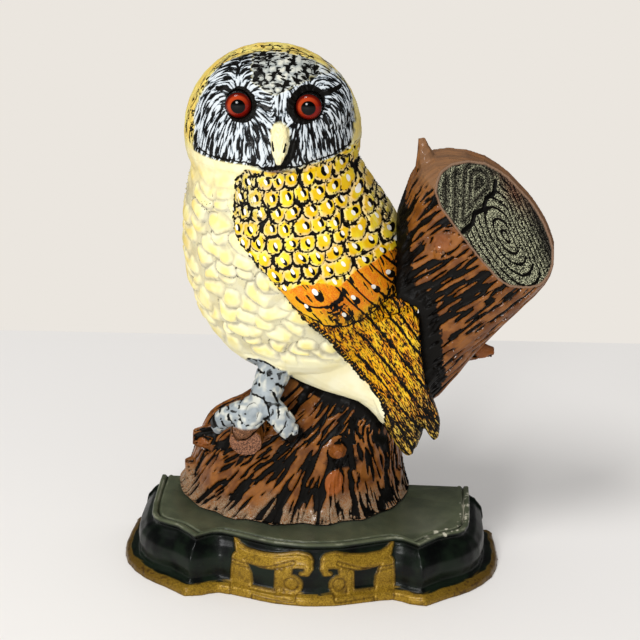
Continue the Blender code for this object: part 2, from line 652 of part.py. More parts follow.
def log_form(inset, back, name):
    rings = []
    shorter = 1 - 1.5 * inset / LOG_LENGTH
    ridge, deepest = (0.0, LOG_RIDGE) if inset else (LOG_RIDGE, 0.0)
    for along, side, width, turn, depth in smooth_through(LOG_STATIONS, 2):
        slope = LOG_LEAN + math.radians(turn)
        reach = Vector((math.cos(slope), -math.sin(slope))) * (width * LOG_HALF_WIDTH)
        middle = log_place(along * shorter, side)
        start, end = inset_pair(middle - reach, middle + reach, inset)
        rings.append(arch(start, end, -BACK_EASE, depth * LOG_DEPTH - inset - deepest, back, 0.6,
                          16 if inset else 18, ridge, LOG_RIDGES))
    return loft(rings, name)


def saw_cutter(inset):
    # Large block whose one face is the sawn end of the log
    lean = LOG_LEAN + SAW_TURN
    normal = Vector((math.sin(lean) * math.cos(SAW_TILT), -math.sin(SAW_TILT), math.cos(lean) * math.cos(SAW_TILT)))
    centre = log_place(1.0, 0.0)
    point = Vector((centre[0], -0.48 * LOG_DEPTH, centre[1])) + normal * (SAW_STEP - inset)
    size = LOG_LENGTH
    cutter = block((-size, -size, 0.0), (size, size, size), "saw")
    cutter.data.transform(Matrix.Translation(point) @ normal.to_track_quat("Z", "Y").to_matrix().to_4x4())
    return cutter


def foot_screw_places():
    left = STUMP_CENTRE_X - STUMP_HALF_WIDTH + FOOT_SCREW_INSET
    right = STUMP_CENTRE_X + STUMP_HALF_WIDTH - FOOT_SCREW_INSET
    return [(left, FOOT_SCREW_Y), (right, FOOT_SCREW_Y)]


def log_point(along, across, depth):
    place = log_place(along, across)
    return place[0], -depth * LOG_DEPTH, place[1]


def stump_point(across, depth, height):
    return (STUMP_CENTRE_X + across * STUMP_HALF_WIDTH, -depth * STUMP_DEPTH, STUMP_FOOT + height * STUMP_HEIGHT)


def knot_forms():
    courses = [(log_point(*start), log_point(*end), shares) for start, end, *shares in LOG_SPURS]
    courses += [(stump_point(*start), stump_point(*end), shares) for start, end, *shares in STUMP_KNOTS]
    return [tube([start, end], [share * STUB_RADIUS for share in shares], "knot", 12)
            for start, end, shares in courses]


def stump_trunk():
    tall = STUMP_FOOT + 2 * STUMP_HEIGHT
    log = combine(log_form(0.0, BEYOND_BACK, "log"), saw_cutter(0.0), "DIFFERENCE")
    trunk = join_all([stump_form(0.0, BEYOND_BACK, tall, "stump_trunk"), log, *knot_forms()])
    log_core = combine(log_form(CAST_WALL, BEYOND_BACK * 2, "log_core"), saw_cutter(CAST_WALL), "DIFFERENCE")
    ceiling = BODY_FOOT - GAP - CAST_WALL
    core = combine(stump_form(CAST_WALL, BEYOND_BACK * 2, ceiling, "stump_core"), log_core, "UNION")
    combine(trunk, core, "DIFFERENCE")
    for form in owl_forms():
        combine(trunk, swell(form, GAP), "DIFFERENCE", "MANIFOLD")
    bosses = [cylinder((x, y, STUMP_FOOT), (0, 0, 1), BOSS_RADIUS, FOOT_BOSS_HEIGHT, "foot_boss", SMALL_SIDES)
              for x, y in foot_screw_places()]
    join_all([trunk, *bosses])
    holes = [cylinder((x, y, 0.0), (0, 0, 1), FOOT_SCREW_RADIUS + GAP, DECK_TOP + FOOT_BOSS_HEIGHT - CAST_WALL / 2,
                      "foot_hole", SMALL_SIDES) for x, y in foot_screw_places()]
    holes.append(cylinder((BOLT_X, BOLT_Y, 0.0), (0, 0, 1), BOLT_RADIUS + GAP, BODY_FOOT, "bolt_way", SMALL_SIDES))
    cut_all(trunk, holes)
    return cut_back_flat(trunk)


# Plinth

def plan(end_points, front_points, half_width, depth):
    # Outline from the right rear corner round the front to the left rear corner
    half = smooth_through(end_points, 2)[:-1] + smooth_through(front_points, 2)
    right = [Vector((x * half_width, -y * depth)) for x, y in half]
    return right + [Vector((-p.x, p.y)) for p in reversed(right[:-1])]


def plinth_ring(blend, inset, z, back):
    # Outline between the rim's and the deck's, drawn in towards the middle of the back
    rim = plan(RIM_END, RIM_FRONT, PLINTH_HALF_WIDTH, PLINTH_DEPTH)
    deck = plan(DECK_END, DECK_FRONT, DECK_HALF_WIDTH, DECK_DEPTH)
    narrow, shallow = 1 - inset / DECK_HALF_WIDTH, 1 - inset / DECK_DEPTH
    mixed = [a.lerp(b, blend) for a, b in zip(rim, deck)]
    return [(p.x * narrow, min(p.y * shallow, -back), z) for p in mixed]


def skin_rows(bm, rows):
    # Sheet of faces through open rows, a flat back across their ends and a flat top on the last row
    grid = [[bm.verts.new(point) for point in row] for row in rows]
    for low, high in zip(grid, grid[1:]):
        for a, b, c, d in zip(low, low[1:], high[1:], high):
            bm.faces.new((a, b, c, d))
    bm.faces.new([row[0] for row in grid] + [row[-1] for row in reversed(grid)])
    bm.faces.new(grid[-1])
    return grid[0]


def base_plinth():
    outside = [plinth_ring(blend, 0.0, share * PLINTH_HEIGHT, 0.0) for share, blend in PLINTH_SIDE]
    outside += [plinth_ring(1.0, inset * BEAD_WIDTH, share * PLINTH_HEIGHT, 0.0) for share, inset in DECK_BEADS]
    ceiling = PLINTH_HEIGHT - DECK_THICKNESS
    low_side = [(share, blend) for share, blend in PLINTH_SIDE[::3] if share * PLINTH_HEIGHT < ceiling]
    inside = [plinth_ring(blend, CAST_WALL, share * PLINTH_HEIGHT, CAST_WALL) for share, blend in low_side]
    inside.append(plinth_ring(1.0, CAST_WALL, ceiling, CAST_WALL))
    bm = bmesh.new()
    edge, inner_edge = skin_rows(bm, outside), skin_rows(bm, inside)
    for i, vert in enumerate(edge):
        after = (i + 1) % len(edge)
        bm.faces.new((vert, edge[after], inner_edge[after], inner_edge[i]))
    plinth = object_from(bm, "base_plinth")
    reach = PLINTH_HEIGHT + DECK_THICKNESS
    holes = [cylinder((x, y, 0.0), (0, 0, 1), FOOT_SCREW_RADIUS + GAP, reach, "screw_hole", SMALL_SIDES)
             for x, y in foot_screw_places()]
    holes.append(cylinder((BOLT_X, BOLT_Y, 0.0), (0, 0, 1), BOLT_RADIUS + GAP, reach, "bolt_hole", SMALL_SIDES))
    return cut_all(plinth, holes)


def tie_washer():
    top = PLINTH_HEIGHT - DECK_THICKNESS - GAP
    profile = [(BOLT_RADIUS + GAP, 0.0), (WASHER_RADIUS, 0.0), (WASHER_RADIUS, WASHER_THICKNESS),
               (BOLT_RADIUS + GAP, WASHER_THICKNESS), (BOLT_RADIUS + GAP, 0.0)]
    return turned(profile, (BOLT_X, BOLT_Y, top - WASHER_THICKNESS), (0, 0, 1), "tie_washer", SMALL_SIDES)


def tie_bolt():
    seat = PLINTH_HEIGHT - DECK_THICKNESS - 2 * GAP - WASHER_THICKNESS
    length = BODY_FOOT + BOLT_GRIP - seat
    return slotted_screw((BOLT_X, BOLT_Y, seat), (0, 0, 1), BOLT_RADIUS, length, "tie_bolt")


def stump_screw(x, y, name):
    seat = PLINTH_HEIGHT - DECK_THICKNESS - GAP
    return slotted_screw((x, y, seat), (0, 0, 1), FOOT_SCREW_RADIUS, FOOT_SCREW_LENGTH, name)


# Finish

def give_material(item, colour, roughness, metallic):
    material = bpy.data.materials.new(item.name + "_finish")
    material.use_nodes = True
    shader = material.node_tree.nodes["Principled BSDF"]
    shader.inputs["Base Color"].default_value = (*colour, 1.0)
    shader.inputs["Roughness"].default_value = roughness
    shader.inputs["Metallic"].default_value = metallic
    item.data.materials.clear()
    item.data.materials.append(material)


def tidy_mesh(item):
    bm = bmesh.new()
    bm.from_mesh(item.data)
    bmesh.ops.remove_doubles(bm, verts=bm.verts, dist=1e-6)
    bmesh.ops.dissolve_degenerate(bm, edges=bm.edges, dist=1e-6)
    bmesh.ops.triangulate(bm, faces=bm.faces)
    bm.to_mesh(item.data)
    bm.free()
    item.data.shade_smooth()
    item.data.set_sharp_from_angle(angle=math.radians(35))


def stand_on_centre(items):
    # Parents every piece to one empty and centres the whole footprint on the origin
    corners = [vert.co for item in items for vert in item.data.vertices]
    anchor = bpy.data.objects.new("doorstop", None)
    bpy.context.scene.collection.objects.link(anchor)
    for item in items:
        item.parent = anchor
    middle_x = (min(c.x for c in corners) + max(c.x for c in corners)) / 2
    middle_y = (min(c.y for c in corners) + max(c.y for c in corners)) / 2
    anchor.location = (-middle_x, -middle_y, 0.0)


def build():
    clear_scene()
    finishes = [(owl_shell(), (0.72, 0.58, 0.22), 0.5, 0.0),
                (stump_trunk(), (0.21, 0.09, 0.04), 0.45, 0.0),
                (base_plinth(), (0.03, 0.035, 0.03), 0.4, 0.0),
                (eye_strap(), (0.45, 0.45, 0.44), 0.4, 1.0),
                (eye_strap_screw(), (0.45, 0.45, 0.44), 0.4, 1.0),
                (tie_bolt(), (0.40, 0.40, 0.39), 0.45, 1.0),
                (tie_washer(), (0.40, 0.40, 0.39), 0.45, 1.0)]
    for (x, y), name in zip(foot_screw_places(), ("left_stump_screw", "right_stump_screw")):
        finishes.append((stump_screw(x, y, name), (0.40, 0.40, 0.39), 0.45, 1.0))
    for (x, z), name in zip(eye_places(), ("left_eye_glass", "right_eye_glass")):
        finishes.append((eye_glass(x, z, name), (0.55, 0.05, 0.02), 0.05, 0.0))
    for item, colour, roughness, metallic in finishes:
        tidy_mesh(item)
        give_material(item, colour, roughness, metallic)
    stand_on_centre([item for item, *_ in finishes])


build()
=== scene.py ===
import math
from functools import reduce
from itertools import product
from types import SimpleNamespace

import bmesh
import bpy
import numpy as np
from mathutils import Matrix, Vector
from mathutils.bvhtree import BVHTree
from mathutils.kdtree import KDTree


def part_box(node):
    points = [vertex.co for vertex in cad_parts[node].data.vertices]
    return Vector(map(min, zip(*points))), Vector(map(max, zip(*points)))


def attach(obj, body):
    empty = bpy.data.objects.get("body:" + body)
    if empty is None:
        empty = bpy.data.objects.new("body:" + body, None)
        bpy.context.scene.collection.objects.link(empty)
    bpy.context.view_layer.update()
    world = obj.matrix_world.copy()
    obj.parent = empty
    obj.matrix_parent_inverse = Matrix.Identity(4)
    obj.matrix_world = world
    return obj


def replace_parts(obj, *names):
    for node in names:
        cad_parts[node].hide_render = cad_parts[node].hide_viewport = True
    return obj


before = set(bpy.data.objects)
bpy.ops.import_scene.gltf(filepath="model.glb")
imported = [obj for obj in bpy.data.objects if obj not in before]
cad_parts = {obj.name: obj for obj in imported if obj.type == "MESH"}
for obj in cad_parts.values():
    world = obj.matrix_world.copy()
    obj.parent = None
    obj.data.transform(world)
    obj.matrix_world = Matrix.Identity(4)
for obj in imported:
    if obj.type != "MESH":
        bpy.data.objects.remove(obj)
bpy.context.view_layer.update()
backPlane = 0.038
sideShift = -0.009919  # x of the castings' middle
flatness = 3e-5  # a corner this near a plane lies on it
copeGap = 0.0006  # a face this near another casting is hidden by it
paintReach = 0.0015  # how far paint carries round onto a cut
boltRadius = 0.0035
boltHole = (2, (sideShift - 0.012, backPlane - 0.02))  # axis and middle
screwHoles = [(2, (sideShift + shift, backPlane - 0.012), 0.0023) for shift in (-0.058, 0.038)]


# Mesh tools

def linked(item):
    bpy.context.scene.collection.objects.link(item)
    return item


def objectFrom(bm, name):
    bmesh.ops.recalc_face_normals(bm, faces=bm.faces)
    mesh = bpy.data.meshes.new(name)
    bm.to_mesh(mesh)
    bm.free()
    return linked(bpy.data.objects.new(name, mesh))


def mergedMesh(nodeName):
    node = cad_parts[nodeName]
    bm = bmesh.new()
    bm.from_mesh(node.data)
    bm.transform(node.matrix_world)
    bmesh.ops.remove_doubles(bm, verts=bm.verts, dist=2e-6)
    bmesh.ops.recalc_face_normals(bm, faces=bm.faces)
    return bm


def onPlane(verts, plane):
    axis, level = plane
    return all(abs(vert.co[axis] - level) < flatness for vert in verts)


def inBore(face, bores):
    for axis, centre, radius in bores:
        one, two = (i for i in range(3) if i != axis)
        reach = max(math.hypot(v.co[one] - centre[0], v.co[two] - centre[1]) for v in face.verts)
        if reach < radius * 1.02 and abs(face.normal[axis]) < 0.2:
            return True
    return False


def outerSkin(nodeName, planes, bores, against=None):
    # The outer skin of a hollow casting, without what faces another casting closely
    bm = mergedMesh(nodeName)
    bm.normal_update()
    neighbour = BVHTree.FromBMesh(mergedMesh(against)) if against else None

    def isCoped(face):
        return neighbour and all(neighbour.find_nearest(vert.co, copeGap)[0] for vert in face.verts)

    rims = {f for f in bm.faces if any(onPlane(f.verts, plane) for plane in planes)
            or inBore(f, bores) or isCoped(f)}
    first = min((f for f in bm.faces if f not in rims), key=lambda f: f.calc_center_median().y)
    kept, front = {first}, [first]
    while front:
        for edge in front.pop().edges:
            for other in edge.link_faces:
                if other not in kept and other not in rims:
                    kept.add(other)
                    front.append(other)
    bmesh.ops.delete(bm, geom=[f for f in bm.faces if f not in kept], context="FACES")
    return bm


def outerSolid(nodeName, planes, bores):
    # The outer skin closed across its mouths and holes
    bm = outerSkin(nodeName, planes, bores)
    for plane in planes:
        rim = [e for e in bm.edges if e.is_boundary and onPlane(e.verts, plane)]
        bmesh.ops.triangle_fill(bm, edges=rim, use_beauty=True)
    bmesh.ops.holes_fill(bm, edges=[e for e in bm.edges if e.is_boundary], sides=0)
    bmesh.ops.triangulate(bm, faces=bm.faces)
    return bm


def applied(item, name, kind, **settings):
    # Adds a modifier and makes its result the mesh
    step = item.modifiers.new(name, kind)
    for key, value in settings.items():
        setattr(step, key, value)
    depsgraph = bpy.context.evaluated_depsgraph_get()
    mesh = bpy.data.meshes.new_from_object(item.evaluated_get(depsgraph))
    item.modifiers.clear()
    item.data = mesh
    return item


def refined(item, voxel):
    return applied(item, "refine", "REMESH", mode="VOXEL", voxel_size=voxel, use_smooth_shade=True)


def overlap(item, other):
    # Keeps what an object shares with another one
    applied(item, "overlap", "BOOLEAN", operation="INTERSECT", solver="MANIFOLD", object=other)
    bpy.data.objects.remove(other, do_unlink=True)
    return item


def softened(item, rounds, where):
    # Rounds off the flats of a casting's mesh
    group = item.vertex_groups.new(name="soft")
    group.add(np.flatnonzero(where(*readSkin(item)[0].T)).tolist(), 1.0, "REPLACE")
    return applied(item, "soften", "SMOOTH", factor=0.5, iterations=rounds, vertex_group="soft")


def finished(item, material, sharpAngle=55):
    item.data.shade_smooth()
    item.data.set_sharp_from_angle(angle=math.radians(sharpAngle))
    item.data.materials.clear()
    item.data.materials.append(material)
    return item


def boxOf(low, high):
    bm = bmesh.new()
    low, high = np.array((low, high))
    bmesh.ops.create_cube(bm, size=1.0, matrix=Matrix.LocRotScale((low + high) / 2, None, high - low))
    return objectFrom(bm, "box")


def finderOf(places, rows):
    finder = KDTree(len(places))
    for i in rows:
        finder.insert(places[i], int(i))
    finder.balance()
    return finder


def nearest(places, sources, takers, other):
    # Distance from the takers' places to the nearest source's, another value elsewhere
    finder = finderOf(places, np.flatnonzero(sources))
    distance = np.full(len(places), other)
    for i in np.flatnonzero(takers):
        distance[i] = finder.find(places[i])[2]
    return distance


def piecesOf(item, pieces, material, nodeName=None):
    # Closed pieces of a skin, cut by boxes and by the casting whose hollow and holes stay
    finder = finderOf([vert.co for vert in item.data.vertices], range(len(item.data.vertices)))
    known = {layer.name: readLayer(item, layer.name) for layer in item.data.attributes
            if layer.domain == "POINT" and layer.data_type == "FLOAT"}
    made = []
    for name, (low, high) in pieces.items():
        shape = boxOf(low, high)
        if nodeName:
            shape = overlap(objectFrom(mergedMesh(nodeName), "casting"), shape)
        piece = item.copy()
        piece.data = item.data.copy()
        piece.name = name
        overlap(linked(piece), shape)
        foreign = np.flatnonzero(readLayer(piece, "own") < 0.99).tolist()  # the casting's corners
        near = {i: finder.find(piece.data.vertices[i].co) for i in foreign}
        for layer, sources in known.items():
            values = readLayer(piece, layer)
            for i, (_, source, distance) in near.items():
                if distance < paintReach:
                    values[i] = sources[source]
                elif layer == "bare":
                    values[i] = 1.0
            piece.data.attributes[layer].data.foreach_set("value", values)
        made.append(finished(piece, material))
    bpy.data.objects.remove(item, do_unlink=True)
    return made


def read(rows, name, width=1, kind=np.float32):
    values = np.empty(len(rows) * width, dtype=kind)
    rows.foreach_get(name, values)
    return values


def readLayer(item, name):
    return read(item.data.attributes[name].data, "value")


def readSkin(item):
    # Places in millimetres from the casting's middle and back plane, and normals
    places = read(item.data.vertices, "co", 3, np.float64).reshape(-1, 3)
    normals = read(item.data.vertex_normals, "vector", 3).reshape(-1, 3)
    return (places - (sideShift, backPlane, 0.0)) * 1000, normals.astype(float)


def writeSkin(item, places, fields):
    item.data.vertices.foreach_set("co", (places / 1000 + (sideShift, backPlane, 0.0)).ravel())
    for name, values in {**fields, "own": np.ones(len(places))}.items():
        layer = item.data.attributes.new(name, "FLOAT", "POINT")
        layer.data.foreach_set("value", np.asarray(values, dtype=np.float32))
    item.data.update()


# Number fields, in millimetres

lattice = np.random.default_rng(11).random((64, 64, 64))


def fade(low, high, value):
    t = unit((value - low) / (high - low))
    return t * t * (3 - 2 * t)


def unit(value):
    return np.clip(value, 0, 1)


def hill(distance, width):
    return np.exp(-(distance / width) ** 2)


def highest(*fields):
    return reduce(np.maximum, fields)


def chanceOf(row, column, seed):
    row, column = (cell.astype(np.int64) for cell in (row, column))
    return lattice[(row * 7 + seed) & 63, (column * 5 + 3 * seed) & 63, (row + column * 11) & 63]


def noise(places, size, seed):
    # Smooth noise, 0 to 1
    spots = places / size + seed * 7.13
    cells = np.floor(spots).astype(np.int64)
    parts = spots - cells
    parts = parts * parts * (3 - 2 * parts)
    total = np.zeros(len(places))
    for corner in product((0, 1), repeat=3):
        a, b, c = ((cells + corner) & 63).T
        total += np.prod(np.where(corner, parts, 1 - parts), axis=1) * lattice[a, b, c]
    return total


def wobble(places, size, seed):
    # Smooth noise, -1 to 1
    return (noise(places, size, seed) - 0.5) * 2


def streaks(places, normals, way, reach, size, seed):
    # Noise drawn out along a direction on the surface, 0 to 1
    way = way - normals * np.sum(way * normals, axis=1)[:, None]
    way = way / highest(np.linalg.norm(way, axis=1), 1e-6)[:, None]
    total = np.zeros(len(places))
    steps = max(7, int(2 * reach / (0.75 * size)))
    for t in np.linspace(-1, 1, steps):
        total += (1 - 0.9 * t * t) * noise(places + way * (t * reach), size, seed)
    return unit(0.5 + 0.25 * (total - total.mean()) / total.std())


def fromLine(value, pitch):
    # How far from the nearest of evenly spaced lines, in pitches
    return abs((value / pitch) % 1.0 - 0.5)


def blob(x, z, middle, reach):
    return hill(np.hypot((x - middle[0]) / reach[0], (z - middle[1]) / reach[1]), 1.0)


def oval(x, z, wide, tall):
    return fade(1.5, 0.5, np.hypot(x / wide, z / tall))


def toSegment(x, z, start, end):
    # Distance to a straight line and how far along it, 0 to 1
    (ax, az), (bx, bz) = start, end
    dx, dz = bx - ax, bz - az
    t = unit(((x - ax) * dx + (z - az) * dz) / (dx * dx + dz * dz))
    return np.hypot(x - ax - t * dx, z - az - t * dz), t


def lineDistance(x, z, *lines):
    return np.minimum.reduce([toSegment(x, z, *ends)[0] for line in lines for ends in zip(line, line[1:])])


def strokeDistance(x, z, points, widths):
    # Distance inside a stroke of changing width, positive inside
    best = np.full(x.shape, -1e9)
    for start, end, first, last in zip(points, points[1:], widths, widths[1:]):
        distance, t = toSegment(x, z, start, end)
        best = highest(best, first + (last - first) * t - distance)
    return best


def inside(x, z, outline):
    # Distance to an outline, positive inside it
    closed = [*outline, outline[0]]
    within = np.zeros(x.shape, dtype=bool)
    for (ax, az), (bx, bz) in zip(closed, closed[1:]):
        rise = bz - az if abs(bz - az) > 1e-9 else 1e-9
        within ^= ((az > z) != (bz > z)) & (x < (bx - ax) * (z - az) / rise + ax)
    distance = lineDistance(x, z, closed)
    return np.where(within, distance, -distance)


def scales(across, down, width, height, loose, seed):
    # Oval feathers in staggered rows: place across and up from each one's middle, distance from
    # the nearest gap, negative in it, and a chance for each
    side, up, inner, chance = (np.zeros(across.shape) for _ in range(4))
    taken = np.zeros(across.shape, dtype=bool)
    covered = np.full(across.shape, 1e3)
    first = np.floor(down / height)
    for row in (first - 1, first, first + 1):
        shift = np.where(row % 2 == 0, 0.0, 0.5)
        middle = np.floor(across / width - shift)
        for column in (middle, middle - 1, middle + 1):
            own = chanceOf(row, column, seed)
            other = chanceOf(row, column, seed + 9)
            scale = 1 + (chanceOf(row, column, seed + 17) - 0.5) * loose * 0.5
            dx = across - (column + 0.5 + shift + (own - 0.5) * loose) * width
            dy = down - (row + 0.5 + (other - 0.5) * loose * 0.6) * height
            halfWide, halfTall = 0.53 * width * scale, 0.7 * height * scale
            reach = (abs(dx / halfWide) ** 2.5 + abs(dy / halfTall) ** 2.5) ** 0.4
            edge = (1 - reach) * np.minimum(halfWide, halfTall)
            new = ~taken & (edge > 0)
            for target, value in ((side, dx), (up, -dy), (inner, np.minimum(edge, covered)), (chance, own)):
                target[new] = value[new]
            taken |= new
            covered = np.minimum(covered, np.where(edge > 0, 1e3, -edge))
    inner[~taken] = -0.4
    return side, up, inner, chance


# Shader tools

class Wire:
    # An output socket that takes part in arithmetic

    def __init__(self, graph, socket):
        self.graph = graph
        self.socket = socket

    def math(self, operation, *others):
        return self.graph.node("Math", dict(enumerate((self, *others))), operation=operation)

    def __add__(self, other):
        return self.math("ADD", other)

    def __sub__(self, other):
        return self.math("SUBTRACT", other)

    def __rsub__(self, other):
        return self.math("MULTIPLY", -1.0).math("ADD", other)

    def __mul__(self, other):
        return self.math("MULTIPLY", other)

    __radd__ = __add__
    __rmul__ = __mul__

    def fade(self, low, high):
        return self.graph.node("MapRange", {"Value": self, "From Min": low, "From Max": high},
                interpolation_type="SMOOTHSTEP")


class Graph:
    def __init__(self, name, store=bpy.data.materials):
        self.owner = store.new(name)
        self.owner.use_nodes = True
        self.tree = self.owner.node_tree
        self.tree.nodes.clear()

    def node(self, kind, inputs=None, output=0, **settings):
        made = self.tree.nodes.new("ShaderNode" + kind)
        for key, value in settings.items():
            setattr(made, key, value)
        for key, value in (inputs or {}).items():
            if isinstance(value, Wire):
                self.tree.links.new(value.socket, made.inputs[key])
            else:
                made.inputs[key].default_value = value
        return Wire(self, made.outputs[output])

    def show(self, shader, kind="Material"):
        made = self.tree.nodes.new("ShaderNodeOutput" + kind)
        self.tree.links.new(shader.socket, made.inputs["Surface"])
        return self.owner

    def field(self, name):
        return self.node("Attribute", output=2, attribute_name=name)

    def place(self):
        # Object coordinates in millimetres
        spot = self.node("TexCoord", output="Object")
        return self.node("VectorMath", {0: spot, "Scale": 1000.0}, operation="SCALE")

    def grain(self, size, detail, roughness=0.5):
        return self.node("TexNoise", {"Vector": self.place(), "Scale": 1.0 / size, "Detail": detail,
                "Roughness": roughness})

    def drawn(self, way, across, along, detail):
        # Noise drawn out along a direction in the front plane
        spot = self.place()
        axes = {"X": (way[1] / across, 0.0, -way[0] / across), "Y": (way[0] / along, 0.0, way[1] / along),
                "Z": (0.0, 1.0 / along, 0.0)}
        turned = {name: self.node("VectorMath", {0: spot, 1: axis}, 1, operation="DOT_PRODUCT")
                for name, axis in axes.items()}
        turned = self.node("CombineXYZ", turned)
        return self.node("TexNoise", {"Vector": turned, "Scale": 1.0, "Detail": detail})

    def mix(self, factor, first, second):
        first, second = (colour(tone) if isinstance(tone, str) else tone for tone in (first, second))
        return self.node("Mix", {0: factor, 6: first, 7: second}, 2, data_type="RGBA", clamp_factor=True)

    def coats(self, tone, *coats):
        # Paints laid over each other, each where its mask covers
        for mask, coat in coats:
            tone = self.mix(self.field(mask) if isinstance(mask, str) else mask, tone, coat)
        return tone

    def bareIron(self, fine):
        # Mask and tone of the unpainted inside and back
        depth = self.node("SeparateXYZ", {"Vector": self.place()}, 1)
        mask = self.field("bare").math("MAXIMUM", (depth - 37.8).fade(0.0, 0.15))
        return mask, self.mix(fine, "1f1c1a", "3c3632")

    def surface(self, tone, roughness, height=None, depth=0.1, **constants):
        inputs = {"Base Color": tone, "Roughness": roughness}
        inputs.update({key.replace("_", " "): value for key, value in constants.items()})
        if height is not None:
            inputs["Normal"] = self.node("Bump", {"Distance": depth / 1000, "Height": height})
        return self.show(self.node("BsdfPrincipled", inputs))


def colour(code):
    # Linear colour from a hex code
    parts = [int(code[i:i + 2], 16) / 255 for i in (0, 2, 4)]
    return (*[part / 12.92 if part <= 0.04045 else ((part + 0.055) / 1.055) ** 2.4 for part in parts], 1.0)


# Owl

owl = {
    "voxel": 0.00042, "baseSink": 0.1, "eyes": ((-34.3, 227.8), (-3.3, 227.8)), "eyeHole": 0.0063,
    "bridge": -15.2, "softRounds": 12, "softFrom": 108, "back": -0.4,
    "pieces": {"owlHead": ((-1, -1, 0.1985), (1, 1, 1)), "owlBreast": ((-1, -1, -1), (-0.0215, 1, 0.1985)),
               "owlWing": ((-0.0215, -1, 0.143), (1, 1, 0.1985)),
               "owlTail": ((-0.0215, -1, -1), (1, 1, 0.143))},
    # Feathers' width, height, looseness and seed
    "breastFeathers": (10.0, 6.6, 0.8, 21), "wingFeathers": (6.7, 6.7, 0.34, 5),
    "shingles": (3.9, 2.5, 0.7, 33), "crownMarks": (3.6, 2.6, 0.6, 41),
    "face": [(-55.5, 222.6), (-55.8, 212), (-54.5, 205), (-47, 203.4), (-31, 203.8), (-22, 202.2),
             (-15.5, 202), (-6, 202.4), (0, 203.6), (9, 204.8), (16, 207), (17, 216), (15.8, 229),
             (12, 235), (6, 240), (-2, 240), (-10, 236.5), (-18, 233.5), (-26, 237), (-36, 241),
             (-46, 237), (-52, 230)],
    "neckLine": [(-80, 190), (-57, 203), (-47, 202.6), (-31, 203), (-22, 201.4), (-15.5, 201.2), (-6, 201.6),
                 (0, 202.8), (9, 204), (16, 206), (22, 207.5), (60, 208), (60, 260), (-80, 260)],
    "wing": [(-31, 200.5), (-35.3, 195), (-36.3, 184), (-35, 172.5), (-30, 166), (-23, 158.5), (-16, 151.5),
             (-10, 144), (-4, 136), (4, 128), (10, 121), (16, 110), (24, 100), (30, 92), (34, 84), (33, 73),
             (36, 67), (42, 60), (44, 54), (90, 54), (90, 207), (12, 206), (4, 204), (-8, 202), (-20, 202.4)],
    "bandTop": ((-11, 150), (-6, 153), (7, 153.5), (12, 151), (20, 157), (31, 159.5), (40, 160), (60, 158)),
    "bandFoot": ((-10, 143), (-2, 138), (6, 132.5), (14, 130.5), (22, 131.5), (30, 136), (40, 140.5),
                 (60, 143)),
    "spots": ((2.9, 148.8, 1.5), (19.5, 144.2, 1.15), (28.4, 146.5, 1.1), (34.5, 150.4, 1.15),
              (40.0, 155.2, 1.0), (-1.2, 142.4, 1.0), (15.6, 136.2, 1.1)),
    "belly": [(-60, 98), (-40, 98), (-33, 102), (-29.5, 109), (-24, 111), (-11, 105), (-8, 97), (3, 92),
              (3, 60), (-60, 60)],
    "tips": ((-46.5, 77.5), (-7.5, 74)),
    "slashes": [[(-44.5, 233.5), (-41, 234.2), (-37.5, 232.6)], [(1.5, 232), (6, 233.5), (10, 234.2)]],
    "brows": [([(-28, 234), (-35, 238.5), (-43, 238.5)], 2.0), ([(-6, 234), (0, 238.8), (8, 240.5)], 2.2)],
    "nostrils": [[(-18.6, 215), (-17.8, 212)], [(-12, 214.4), (-12.6, 211.6)]],
    "beak": [(-19.2, 219), (-17.9, 221.8), (-15.3, 222.8), (-12.7, 221.8), (-11.2, 219), (-10.9, 213),
             (-12.0, 208.5), (-13.8, 206), (-15.4, 205.4), (-17.2, 207), (-18.8, 211), (-19.5, 215)],
}


